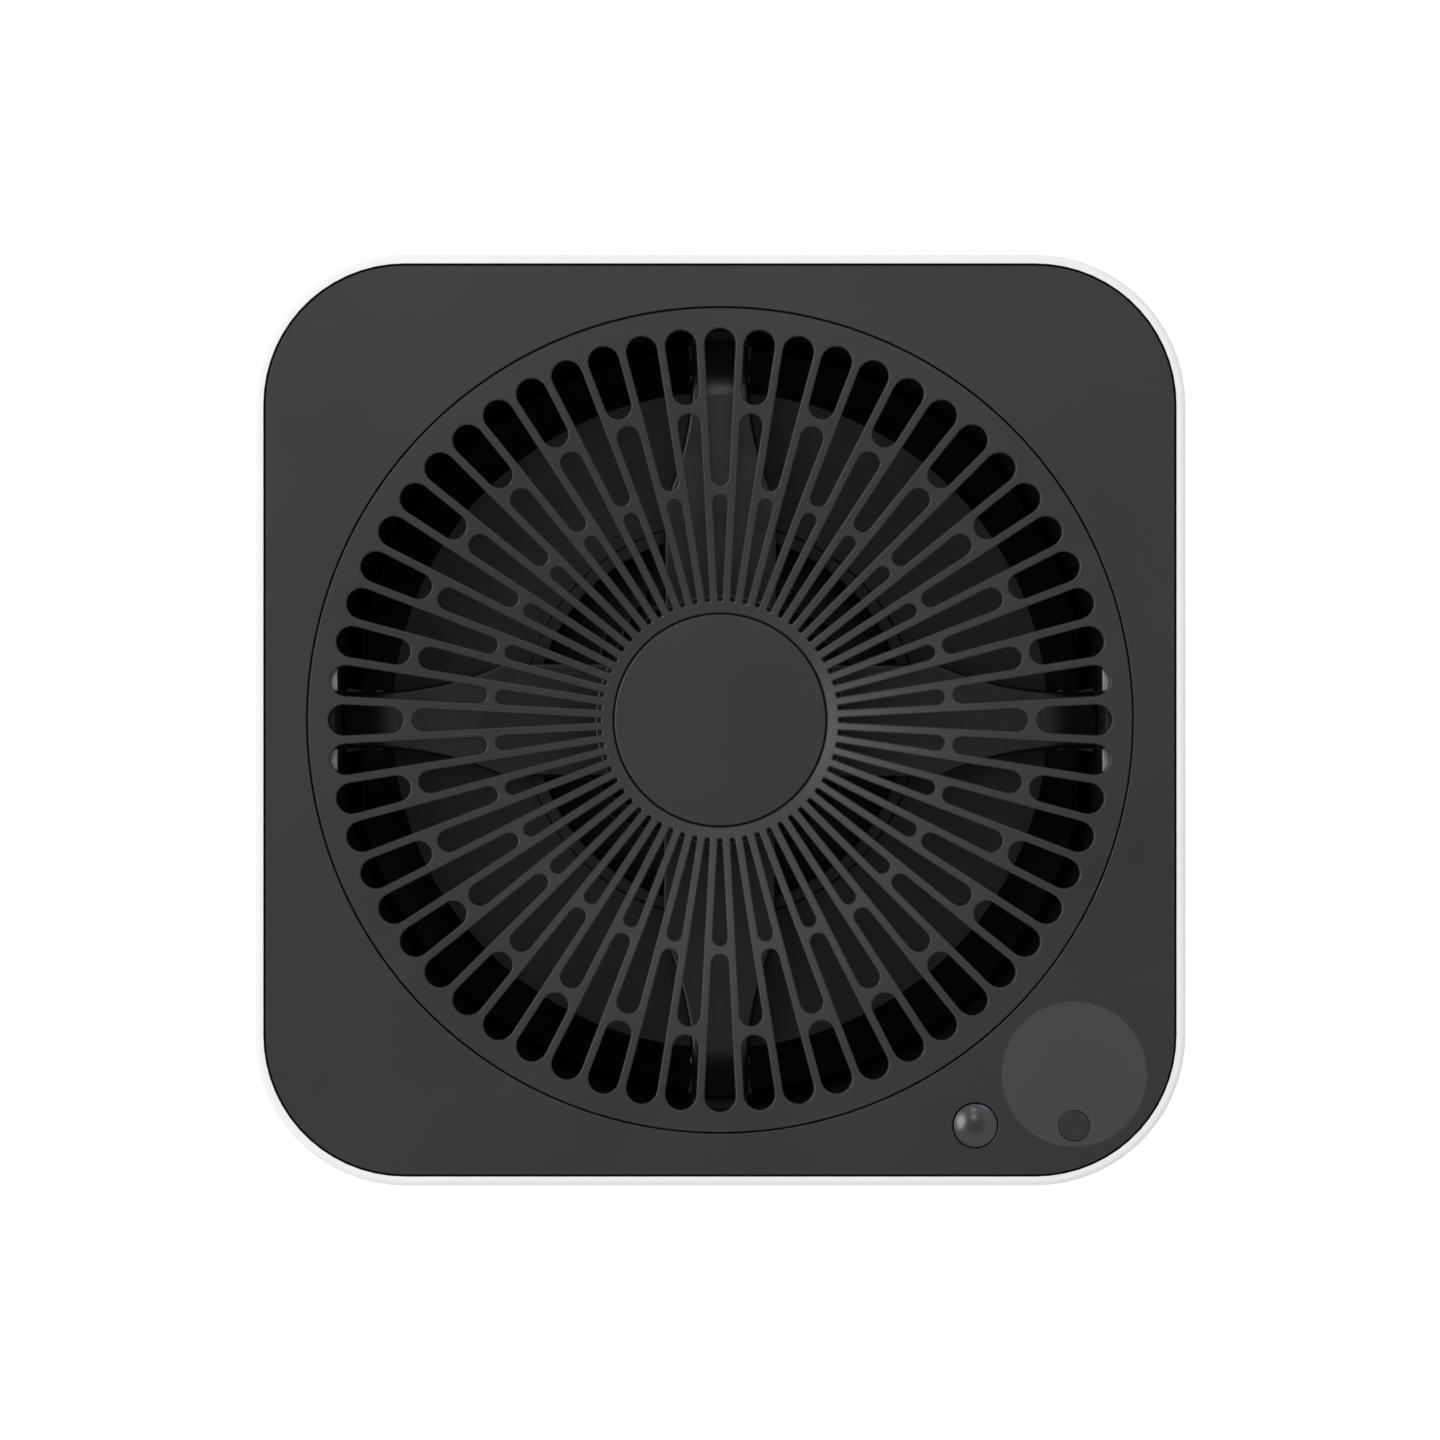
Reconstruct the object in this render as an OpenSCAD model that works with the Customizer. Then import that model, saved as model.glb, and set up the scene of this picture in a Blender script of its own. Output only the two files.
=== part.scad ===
// Tower air purifier with a round dished outlet grille in its top, in millimetres.
// Z is up, the front faces -Y, and the origin is the centre of the footprint on the floor.

/* [Body] */
// Width and depth of the square body
body_w = 260; // [252:1:290]
// Radius of the body's vertical corners
body_r = 42; // [38:1:48]
// Height of the deck above the floor
body_h = 480; // [460:1:540]
// Wall thickness of the housing
wall_t = 2.6; // [2:0.1:3.2]
// Rounding of the housing's top edge
rim_round = 1.6; // [0.6:0.1:1.9]
// Gap between the housing and the parts let into it
seam = 0.6; // [0.3:0.1:0.8]

/* [Base] */
// Height of the rubber feet below the base tray
foot_h = 3; // [2:0.5:6]
// Radius of a rubber foot
foot_r = 9; // [7:0.5:10]
// Distance of each foot's centre from the housing's sides
foot_inset = 35; // [32:1:42]
// Height of the base tray
tray_h = 36; // [34:1:44]
// Wall and floor thickness of the base tray
tray_t = 3; // [2.5:0.1:3.5]
// Height of the set-back plinth under the housing
plinth_h = 8; // [6:1:10]
// How far the plinth stands back from the housing
plinth_inset = 4; // [3:0.5:6]
// Thickness of the shelf that carries the filter
shelf_t = 2.5; // [2:0.1:3.5]
// Distance of the power inlet from the housing's right side
inlet_side = 68; // [60:1:80]
// Width of the power inlet's bezel
inlet_w = 30; // [28:1:36]
// Height of the power inlet's bezel
inlet_h = 19; // [18:0.5:20]

/* [Intake grilles] */
// Distance of an intake panel's edges from the housing's sides
panel_side = 44; // [44:1:55]
// Thickness of an intake panel
panel_t = 2.4; // [2:0.1:2.6]
// Distance between the centres of two intake slots
slat_pitch = 7.5; // [6.5:0.1:9]
// Width of the slat between two intake slots
slat_w = 2.4; // [2:0.1:3]
// Plain margin round a field of slots
slat_margin = 9; // [7:0.5:12]

/* [Filter door] */
// Distance of the door's edges from the housing's sides
door_side = 28; // [27:1:32]
// Depth of the rib round the inside of the door
door_rib = 8; // [6:0.5:9]
// Width of the finger recess in the door
grip_w = 56; // [50:1:64]
// Height of the finger recess in the door
grip_h = 16; // [14:0.5:18]
// Depth of the finger recess in the door
grip_d = 13; // [11:0.5:15]
// Distance of the two magnets from the door's edges
magnet_inset = 32; // [26:1:42]

/* [Filter] */
// Outer radius of the filter's end caps
filter_r = 94; // [88:1:95]
// Depth of the pleats
pleat_d = 20; // [14:1:24]
// Number of pleats
pleat_n = 60; // [40:1:80]
// Height of the foam seal on the filter
seal_h = 4.2; // [3:0.1:6]

/* [Fan] */
// Gap between the impeller and the air duct
imp_gap = 17; // [14.5:0.5:21.5]
// Height of the blades at the impeller's rim
blade_h = 50; // [40:1:56]
// Number of blades
blade_n = 11; // [7:1:13]
// How far the inlet eye stands in from the impeller's rim
eye_inset = 24.5; // [21.5:0.5:28.5]
// Inner radius of the cup in the middle of the impeller
cup_r = 53; // [50:0.5:54]
// Depth of that cup
cup_d = 22; // [20:0.5:24]
// How far the round air duct's inner face stands in from the grille's rim
duct_inset = 3.6; // [3.3:0.1:4.6]
// How far the duct's two flat sides stand in from its round
duct_flat_inset = 3.6; // [3:0.1:5.5]
// Wall thickness of the duct
duct_t = 2; // [1.6:0.1:2.2]
// Radius of the motor shaft
shaft_r = 3; // [2.5:0.1:4]
// Radial clearance between the shaft and the bores on it
shaft_fit = 0.03; // [0.02:0.01:0.08]
// Outer radius of the motor's steel can
can_r = 30; // [28:0.5:31]

/* [Motor bracket] */
// Depth of the bracket's underside below the deck
bracket_drop = 40; // [38:0.5:46]
// Thickness of the bracket
bracket_t = 5; // [4:0.5:6]
// Radius of the bracket's hub
bracket_hub_r = 34.5; // [32:0.5:36]
// Half width of an arm where it leaves the hub
arm_root = 16; // [13:0.5:18]
// Half width of an arm at its narrowest
arm_neck = 8; // [6.5:0.5:9]
// How far the arm screws stand in from the duct's flat sides
arm_screw_inset = 5.9; // [5:0.1:7]

/* [Deck] */
// Thickness of the deck
deck_t = 3; // [2.5:0.1:3.5]
// Depth of the skirt under the deck's edge
skirt_h = 12; // [10:0.5:14]
// Radius of the power button
button_r = 6.1; // [5:0.1:7]
// Height of the button's dome above the deck
button_dome = 1.8; // [1:0.1:2.4]
// Travel of the power button
button_travel = 1.2; // [0.6:0.1:1.4]
// Distance of the power button to the left of the status disc's middle
button_left = 27.6; // [27:0.1:34]
// Distance of the power button in front of the status disc's middle
button_front = 14.3; // [10:0.1:15]
// Radius of the light sensor's window
sensor_r = 4.2; // [3.5:0.1:5]
// Distance of the sensor window's middle from the status disc's edge
sensor_inset = 5.6; // [5.2:0.1:8]
// Distance of the status disc from the deck's corner
disc_edge = 3.5; // [3:0.1:4.5]
// Distance of the status disc from the grille
disc_gap = 4.7; // [4.4:0.1:6]
// Thickness of the status disc
disc_t = 0.8; // [0.5:0.1:1.2]

/* [Outlet grille] */
// Distance of the round grille insert from the housing's sides
grille_inset = 14.9; // [14.4:0.1:15.6]
// Number of slots in the ring
slot_n = 60; // [48:2:60]
// Width of the rib between two slots
rib_w = 2.4; // [2:0.1:2.6]
// Radius at which the slots begin
slot_in = 33.4; // [33:0.1:36]
// Width of the plain rim outside the slots
slot_rim = 5.7; // [5.5:0.1:7.1]
// Distance of the even slots' bridges from the insert's edge
even_in = 50.8; // [46:0.1:56]
// Distance of the odd slots' bridges from the insert's edge
odd_in = 27.9; // [23:0.1:33]
// Width of a bridge
bridge_w = 2.5; // [2:0.1:3]
// Depth of the dish at the hub
dish_d = 11; // [6:0.5:13]
// Thickness of the dished plate
grille_t = 3; // [2.4:0.1:3.4]
// Radius of the centre cap
cap_r = 29.7; // [28:0.1:30.2]

/* [Hidden] */
$fn = 48;

// Clearances and joining
seat_gap = 0.3;      // between a piece and the curved or moving piece that it lies against
screw_fit = 0.05;    // round a screw or a pressed-in part
door_seam = 0.6;
button_fit = 0.25;
disc_fit = 0.05;
sensor_fit = 0.2;
grille_fit = 0.35;
cap_fit = 0.25;
eps = 0.5;           // overlap of solids joined in one piece, and of a cutter past a face

// Heights, from the floor up
foot_sunk = 2;
tray_top = foot_h + tray_h;
shell_z = foot_h + plinth_h + tray_t;
filter_z = tray_top + shelf_t;

// Heights, from the deck down
bracket_z = body_h - bracket_drop;
imp_top = bracket_z - 10;
blade_z = imp_top - blade_h;
shroud_fall = 8;
collar_h = 10;
collar_z = blade_z - shroud_fall - collar_h;
collar_lap = 7;
fan_deck_t = 3;
fan_deck_top = collar_z - 9;
fan_deck_z = fan_deck_top - fan_deck_t;
filter_top = fan_deck_z - seat_gap - seal_h;
skirt_z = body_h - deck_t - skirt_h;
grille_z = body_h - grille_t;
seat_h = 3;          // of the ring under the insert's edge
duct_top = grille_z - seat_h - seat_gap;

// Plan sizes
half_w = body_w / 2;
inner_w = body_w - 2 * wall_t;
inner_r = body_r - wall_t;
deck_w = inner_w - 2 * seam;
deck_r = inner_r - seam;
tray_w = inner_w - 2 * seam;
tray_r = inner_r - seam;
plinth_w = body_w - 2 * plinth_inset;
plinth_r = body_r - plinth_inset;
shelf_w = tray_w - tray_t;
shelf_r = tray_r - tray_t / 2;
foot_at = half_w - foot_inset;
panel_w = body_w - 2 * panel_side;
door_w = body_w - 2 * door_side;
grille_r = half_w - grille_inset;
duct_r = grille_r - duct_inset;
duct_flat = duct_r - duct_flat_inset;
imp_r = duct_r - imp_gap;
eye_r = imp_r - eye_inset;

// Screws, and the posts and gussets that take them
post_at = [inner_w / 2 - 14.4, inner_w / 2 - 34.4];
post_r = 4;
tray_post_r = 4.6;
screw_r = 1.4;
head_r = 2.8;
head_h = 2;
gusset_t = 4;
gusset_half = [14.5, 11];
ledge_t = 3;
ledge_w = 6;
base_screw_z = tray_top - 12;
foot_bevel = 0.8;
ledge_inset = 0.6;   // of the tray's ledge from the housing's face

// Mains inlet
inlet_x = half_w - inlet_side;
inlet_z = tray_top - 12;
inlet_face = half_w - 1;
inlet_depth = 18;
pin_recess = 13;
pin_at = 4.3;
pin_r = 1.2;
pin_l = 16;
pin_slot_w = 8.4;
bezel_t = 1.6;
bezel_lap = 2;

// Supply board
supply_w = 90;
supply_d = 70;
supply_in = 55;      // from the housing's back wall to the board's edge
supply_gap = 5;      // under the board
board_t = 1.6;
stand_off_r = 3;
stand_off_in = 7;    // from the board's edges
transformer = [24, 20, 17];
capacitor_r = 6;
capacitor_h = 16;
capacitor_gap = 18;
coil_out = 9;
coil_in = 4;
coil_h = 8;

// Intake panels, door and sensor vent
panel_z = [filter_z + 8.5, fan_deck_z - 16];
panel_lap = 2;       // of the panel's flange behind the wall, which is flat that far
door_z = [filter_z + 8.5, fan_deck_z - 6];
door_r = wall_t / 2;
header_y = half_w - wall_t - 1.4;
header_z = door_z[1] - 11;
grip_wall = 1.6;
grip_z = header_z - 3 - grip_wall - grip_h;
magnet_r = 4;
magnet_t = 4;
catch_t = 1;
catch_w = 14;
header_t = 7;
header_in = 10;      // from the door's edges
header_lip = 1;      // under the magnets
flange_t = 1.6;
flange_w = 6;        // inside a panel's edge
rib_pocket = 2;
window_r = 6;
tab_x = 60;
tab_w = 16;
tab_t = 2.4;
tab_down = 7;
tab_up = 10;
rib_in = 8;          // from the door's edges
rib_w_in = 2;
sensor_y = half_w - 62;
magnet_x = door_w / 2 - magnet_inset;
vent_w = 26;
vent_slot = 1.8;
vent_pitch = 4;
vent_lap = 2;
sensor_box = [12, 36, 38];
sensor_port_r = 8;
sensor_port_z = 20;
vent_z = [fan_deck_top + 9, fan_deck_top + 31];

// Filter
cap_floor = 3;
cap_lip_t = 1.6;
cap_lip_h = 9;
media_in = 3;        // from the caps' edge
sheet_t = 1.2;
seal_w = 10;
strap_h = 58;
strap_drop = 2;
strap_t = 1.2;
strap_span = 14;     // degrees round the filter

// Impeller
cup_wall = 2;
cup_floor_t = 2.5;
cup_rib_n = 18;
cup_z = imp_top - cup_d;
disc_wall = 2;
blade_inset = 0.6;   // of a blade's tip from the rim
mouth_r = eye_r - 3.5;
mouth_bell = 6;
mouth_lip = 2;
shaft_boss_r = 6;
cup_rib_r = 46;
cup_rib_t = 1.2;
cup_rib_at = 16;
cup_rib_h = 8;
cup_lip = 1.4;
blade_bend = 62;
blade_t = 1.8;

// Motor, below the bracket
can_t = 2;
can_top = bracket_z - 4;
bearing_r = 6.5;
bearing_w = 5;
tube_r = 9;
tube_z = cup_z + can_t + 4;
shaft_z = cup_z - cup_floor_t - 10;
magnet_gap = 0.7;
stator_r = can_r - can_t - 2.5 - magnet_gap;
stator_z = cup_z + can_t + 7;
stator_h = bracket_z - stator_z - 8;
stator_teeth = 9;
core_r = 13;
tooth_w = 3;
shoe_t = 2.4;
coil_t = 1.8;
stator_screw_at = 22;
core_gap = 0.6;
coil_gap = 0.05;
shoe_slot = 2.4;

// Bracket
lug_h = 4;
lug_in = 5;
hub_rim_h = 2;
hub_rim_t = 1.5;
arm_root_at = 62;
arm_foot_h = 4;
arm_slope = 20;
arm_bore_in = 1;
arm_end = duct_flat - seat_gap;
arm_screw_r = duct_flat - arm_screw_inset;
arm_flare_at = arm_screw_r - 2;
arm_bend_at = arm_screw_r - 6;
lug_top = bracket_z - arm_foot_h;

// Deck
grille_seat = duct_r + 0.5;
skirt_t = 2;
seat_w = 2.4;
guide_t = 1.9;
button_flange = 1.4;
button_flange_h = 1.5;
stem_r = 2;
switch_w = 6;
chip_w = 3;
chip_h = 2.6;
board_post_in = 4;
lens_flange = 1;
button_stop = body_h - deck_t - 2.7;
button_foot = button_stop - 3;
board_z = button_foot - 6;
deck_corner = (half_w - body_r) * sqrt(2) + deck_r;
disc_r = (deck_corner - grille_r - disc_edge - disc_gap) / 2;
disc_mid = (deck_corner - disc_edge - disc_r) / sqrt(2);
disc_at = [disc_mid, disc_mid];
button_at = [disc_mid - button_left, disc_mid + button_front];
sensor_drop = disc_r - sensor_inset;
board_x = [button_at[0] - 16, disc_mid + 7];
board_y = [button_at[1] - 9, button_at[1] + 5];

// Outlet grille
slot_out = grille_r - slot_rim;
bridge_even = grille_r - even_in;
bridge_odd = grille_r - odd_in;
dish_r = grille_r - 5.1;
dish_steps = 4;
hub_r = cap_r + 1.4;
cap_t = 2;
hub_z = body_h - dish_d;
clip_y = duct_flat * tan(6);
clip_t = 0.8;
clip_w = 6.6;
clip_h = 9;

// ---------------------------------------------------------------- shared shapes

// A square with round corners, about the origin
module rounded_square(w, r) {
    square([w - 2 * r, w], center = true);
    square([w, w - 2 * r], center = true);
    for (x = [-1, 1], y = [-1, 1])
        translate([x * (w / 2 - r), y * (w / 2 - r)])
            circle(r);
}

// A rectangle with round corners, about the origin
module rounded_rect(size, r) {
    square([size[0] - 2 * r, size[1]], center = true);
    square([size[0], size[1] - 2 * r], center = true);
    for (x = [-1, 1], y = [-1, 1])
        translate([x * (size[0] / 2 - r), y * (size[1] / 2 - r)])
            circle(r);
}

module block(w, r, z0, z1) {
    translate([0, 0, z0])
        linear_extrude(z1 - z0)
            rounded_square(w, r);
}

// A wall profile carried round a square with round corners: x = 0 is its outer face
module sweep_square(w, r) {
    for (a = [0:90:270])
        rotate([0, 0, a]) {
            translate([w / 2, 0, 0])
                rotate([90, 0, 0])
                    linear_extrude(w - 2 * r, center = true)
                        children();
            translate([w / 2 - r, w / 2 - r, 0])
                rotate_extrude(angle = 90)
                    translate([r, 0])
                        children();
        }
}

module tube(r_out, r_in, z0, z1) {
    translate([0, 0, z0])
        difference() {
            cylinder(h = z1 - z0, r = r_out);
            translate([0, 0, -eps])
                cylinder(h = z1 - z0 + 2 * eps, r = r_in);
        }
}

module at_posts() {
    for (x = [-1, 1], y = [-1, 1])
        translate([x * post_at[0], y * post_at[1], 0])
            children();
}

// A pan-head screw with its head's underside at the origin and its shank along +Z
module screw(length) {
    translate([0, 0, -head_h])
        cylinder(h = head_h, r = head_r);
    cylinder(h = length, r = screw_r);
}

// A slot with round ends, standing along Y
module slot_shape(w, h) {
    square([w, h - w], center = true);
    for (s = [-1, 1])
        translate([0, s * (h - w) / 2])
            circle(w / 2);
}

// Columns of slots whose bridges are staggered from one column to the next
module slot_field(w, h) {
    half = floor((w / 2 - slat_margin) / slat_pitch);
    field = h - 2 * slat_margin;
    for (k = [-half:half])
        translate([k * slat_pitch, 0])
            for (span = abs(k) % 2 == 0 ? [[0, 2], [2, 4], [4, 6]] : [[0, 1], [1, 3], [3, 5], [5, 6]]) {
                low = field * span[0] / 6 + (span[0] == 0 ? 0 : bridge_w / 2);
                high = field * span[1] / 6 - (span[1] == 6 ? 0 : bridge_w / 2);
                translate([0, (low + high - field) / 2])
                    slot_shape(slat_pitch - slat_w, high - low);
            }
}

// ---------------------------------------------------------------- base

module feet() {
    color("#2b2b2b")
        for (x = [-1, 1], y = [-1, 1])
            translate([x * foot_at, y * foot_at, 0])
                rotate_extrude()
                    difference() {
                        square([foot_r, foot_h + foot_sunk]);
                        translate([foot_r - foot_bevel, 0])
                            rotate(-45)
                                square([2 * foot_bevel, 4 * foot_bevel], center = true);
                    }
}

// A deep tray: a set-back plinth, a ledge that the housing stands on, and walls inside the housing
module base_tray() {
    color("#e4e5e3") {
        difference() {
            union() {
                block(plinth_w, plinth_r, foot_h, shell_z - tray_t + eps);
                block(body_w - 2 * ledge_inset, body_r - ledge_inset, shell_z - tray_t, shell_z);
                block(tray_w, tray_r, shell_z - eps, tray_top);
            }
            block(plinth_w - 2 * tray_t, plinth_r - tray_t, foot_h + tray_t, shell_z + eps);
            block(tray_w - 2 * tray_t, tray_r - tray_t, shell_z, tray_top + eps);
            for (x = [-1, 1], y = [-1, 1])
                translate([x * foot_at, y * foot_at, foot_h - eps])
                    cylinder(h = foot_sunk + eps, r = foot_r + 2 * screw_fit);
            at_posts()
                translate([0, 0, foot_h - eps])
                    cylinder(h = tray_t + 2 * eps, r = tray_post_r - tray_t / 2);
            inlet_cutter();
        }
        at_posts() {
            tube(tray_post_r, tray_post_r - tray_t / 2, foot_h, base_screw_z + eps);
            tube(tray_post_r, screw_r + seat_gap, base_screw_z, tray_top);
        }
    }
}

// The opening for the mains inlet, through the tray and the housing
module inlet_cutter() {
    translate([inlet_x, half_w - inlet_depth / 2, inlet_z])
        cube([inlet_w + 2 * seat_gap, 2 * inlet_depth, inlet_h + 2 * seat_gap], center = true);
}

// Four screws that hold the tray to the housing, driven up from below
module base_screws() {
    color("silver")
        at_posts()
            translate([0, 0, base_screw_z])
                screw(tray_top - base_screw_z + gusset_t);
}

// Two-pin mains inlet: a recess of two joined rounds, with the pins standing in it
module power_inlet() {
    color("#1e1e1f")
        translate([inlet_x, inlet_face, inlet_z])
            rotate([90, 0, 0])
                difference() {
                    union() {
                        linear_extrude(inlet_depth)
                            rounded_rect([inlet_w - 2 * bezel_lap, inlet_h - 2 * bezel_lap], 2);
                        linear_extrude(bezel_t)
                            rounded_rect([inlet_w, inlet_h], 2);
                    }
                    translate([0, 0, -eps])
                        linear_extrude(pin_recess + eps)
                            rotate(90)
                                slot_shape(pin_slot_w, 2 * pin_at + pin_slot_w);
                    for (s = [-1, 1])
                        translate([s * pin_at, 0, 0])
                            cylinder(h = inlet_depth + eps, r = pin_r);
                }
    color("silver")
        for (s = [-1, 1])
            translate([inlet_x + s * pin_at, inlet_face - inlet_depth - 3 + pin_l, inlet_z])
                rotate([90, 0, 0])
                    cylinder(h = pin_l, r = pin_r);
}

// Supply board on stand-offs in the tray, with its transformer, capacitors and coil
module power_board() {
    supply_z = foot_h + tray_t + supply_gap;
    top = supply_z + board_t;
    translate([inlet_x - supply_w / 3, half_w - supply_in - supply_d / 2, 0]) {
        color("#2f5d3a")
            translate([-supply_w / 2, -supply_d / 2, supply_z])
                cube([supply_w, supply_d, board_t]);
        color("#e4e5e3")
            for (x = [-1, 1], y = [-1, 1])
                translate([
                    x * (supply_w / 2 - stand_off_in), y * (supply_d / 2 - stand_off_in), foot_h + tray_t,
                ])
                    cylinder(h = supply_gap, r = stand_off_r);
        color("#c9a13b")
            translate([-supply_w / 3, -transformer[1], top])
                cube(transformer);
        color("#26282c")
            for (k = [-1:1])
                translate([transformer[1], k * capacitor_gap, top])
                    cylinder(h = capacitor_h, r = capacitor_r);
        color("#b87333")
            translate([-capacitor_gap, transformer[1], top])
                tube(coil_out, coil_in, 0, coil_h);
    }
}

// A lid on the tray that carries the filter; its corners clear the housing's gussets
module filter_shelf() {
    color("#e4e5e3")
        difference() {
            block(shelf_w, shelf_r, tray_top, filter_z);
            at_posts()
                translate([0, 0, tray_top + shelf_t / 2])
                    cube([2 * gusset_half[0] + 2, 2 * gusset_half[1] + 2, shelf_t + 2 * eps], center = true);
        }
}

// ---------------------------------------------------------------- housing

// The outline of a window with round corners through one wall, as a solid along -Y
module window_cutter(w, z, r, depth) {
    translate([0, -half_w - eps, (z[0] + z[1]) / 2])
        rotate([-90, 0, 0])
            linear_extrude(depth + eps)
                rounded_rect([w, z[1] - z[0]], r);
}

// Corner plates inside the housing that take the screws
module gussets(z, bore_r) {
    intersection() {
        block(inner_w + eps, inner_r + eps / 2, z, z + gusset_t);
        difference() {
            at_posts()
                translate([0, 0, z + gusset_t / 2])
                    cube([2 * gusset_half[0], 2 * gusset_half[1], gusset_t], center = true);
            at_posts()
                translate([0, 0, z - eps])
                    cylinder(h = gusset_t + 2 * eps, r = bore_r);
        }
    }
}

// A ledge round the inside of the housing, on a 45 degree underside
module ledge_profile(z) {
    polygon([
        [-wall_t + eps, z - ledge_t - ledge_w],
        [-wall_t, z - ledge_t - ledge_w],
        [-wall_t - ledge_w, z - ledge_t],
        [-wall_t - ledge_w, z],
        [-wall_t + eps, z],
    ]);
}

// The outer tube, open below and above, with a window in each side and the door's opening in the back
module housing_shell() {
    color("#f3f3f1")
        difference() {
            union() {
                difference() {
                    housing_walls();
                    door_opening();
                }
                door_header();
            }
            for (a = [-90, 0, 90])
                rotate([0, 0, a])
                    window_cutter(panel_w + 2 * seat_gap, panel_z + [-seat_gap, seat_gap], window_r, wall_t + eps);
            inlet_cutter();
            rotate([0, 0, -90])
                translate([-sensor_y, 0, 0])
                    window_cutter(vent_w + 2 * seat_gap, vent_z + [-seat_gap, seat_gap], 2, wall_t + eps);
        }
}

// The tube with its two ledges and the gussets under the tray's, fan deck's and top deck's screws
module housing_walls() {
    sweep_square(body_w, body_r)
        difference() {
            translate([-wall_t, shell_z])
                square([wall_t, body_h - shell_z]);
            translate([-rim_round, body_h - rim_round])
                difference() {
                    square(rim_round + eps);
                    circle(rim_round);
                }
        }
    sweep_square(body_w, body_r)
        ledge_profile(fan_deck_z);
    sweep_square(body_w, body_r)
        ledge_profile(skirt_z);
    gussets(tray_top, screw_r + screw_fit);
    gussets(fan_deck_z - gusset_t, screw_r + screw_fit);
    gussets(skirt_z - gusset_t, screw_r + seat_gap);
}

module door_opening() {
    edge_x = door_w / 2 + door_seam - half_w + body_r;
    wall_y = half_w - body_r + sqrt(inner_r * inner_r - edge_x * edge_x);
    translate([0, wall_y - eps, (door_z[0] + door_z[1]) / 2])
        cube_back([door_w + 2 * door_seam, half_w - wall_y + 2 * eps, door_z[1] - door_z[0] + 2 * door_seam]);
}

// A box centred in X and Z that starts at Y = 0
module cube_back(size) {
    translate([-size[0] / 2, 0, -size[2] / 2])
        cube(size);
}

// The bar over the door's opening that holds the two magnets
module door_header() {
    difference() {
        union() {
            translate([header_in - door_w / 2, header_y - header_t, header_z])
                cube([door_w - 2 * header_in, header_t, fan_deck_z - header_z]);
            translate([header_in - door_w / 2, header_y - header_t, door_z[1] + door_seam])
                cube([
                    door_w - 2 * header_in, half_w - wall_t - header_y + header_t + eps,
                    fan_deck_z - door_z[1] - door_seam,
                ]);
        }
        for (s = [-1, 1])
            translate([s * magnet_x, header_y + eps, header_z + magnet_r + header_lip])
                rotate([90, 0, 0])
                    cylinder(h = magnet_t + eps, r = magnet_r + screw_fit);
    }
}

module intake_panel() {
    size = [panel_w, panel_z[1] - panel_z[0]];
    translate([0, -half_w, (panel_z[0] + panel_z[1]) / 2])
        rotate([-90, 0, 0]) {
            linear_extrude(panel_t)
                difference() {
                    rounded_rect(size, window_r - seat_gap);
                    slot_field(size[0], size[1]);
                }
            translate([0, 0, wall_t])
                linear_extrude(flange_t)
                    difference() {
                        rounded_rect(size + 2 * panel_lap * [1, 1], window_r + panel_lap);
                        square(size - 2 * flange_w * [1, 1], center = true);
                    }
            translate([0, 0, panel_t - eps])
                linear_extrude(wall_t - panel_t + 2 * eps)
                    difference() {
                        square(size - 2 * flange_w * [1, 1], center = true);
                        square(size - 2 * (flange_w + rib_pocket) * [1, 1], center = true);
                    }
        }
}

module intake_panel_front() {
    color("#f3f3f1")
        intake_panel();
}

module intake_panel_left() {
    color("#f3f3f1")
        rotate([0, 0, -90])
            intake_panel();
}

module intake_panel_right() {
    color("#f3f3f1")
        rotate([0, 0, 90])
            intake_panel();
}

// Slotted cover through which the dust sensor breathes
module sensor_vent() {
    color("#f3f3f1")
        rotate([0, 0, -90])
            translate([-sensor_y, -half_w, (vent_z[0] + vent_z[1]) / 2])
                rotate([-90, 0, 0]) {
                    linear_extrude(wall_t)
                        vent_outline([vent_w, vent_z[1] - vent_z[0]]);
                    translate([0, 0, wall_t])
                        linear_extrude(1)
                            vent_outline([vent_w, vent_z[1] - vent_z[0]] + 2 * vent_lap * [1, 1]);
                }
}

module vent_outline(size) {
    difference() {
        rounded_rect(size, 1.7);
        for (k = [-2:2])
            translate([0, k * vent_pitch])
                rotate(90)
                    slot_shape(vent_slot, vent_w - 3 * vent_lap);
    }
}

// Optical dust sensor, standing on the fan deck behind its vent
module dust_sensor() {
    color("#55585c")
        translate([-inner_w / 2 + 1 + seat_gap, sensor_y - sensor_box[1] / 2, fan_deck_top])
            difference() {
                cube(sensor_box);
                translate([-eps, sensor_box[1] / 2, sensor_port_z])
                    rotate([0, 90, 0])
                        cylinder(h = sensor_box[0] / 2, r = sensor_port_r);
            }
}

// ---------------------------------------------------------------- filter door

module door_magnets() {
    color("#8d9094")
        for (s = [-1, 1])
            translate([s * magnet_x, header_y, header_z + magnet_r + header_lip])
                rotate([90, 0, 0])
                    cylinder(h = magnet_t, r = magnet_r);
}

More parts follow.
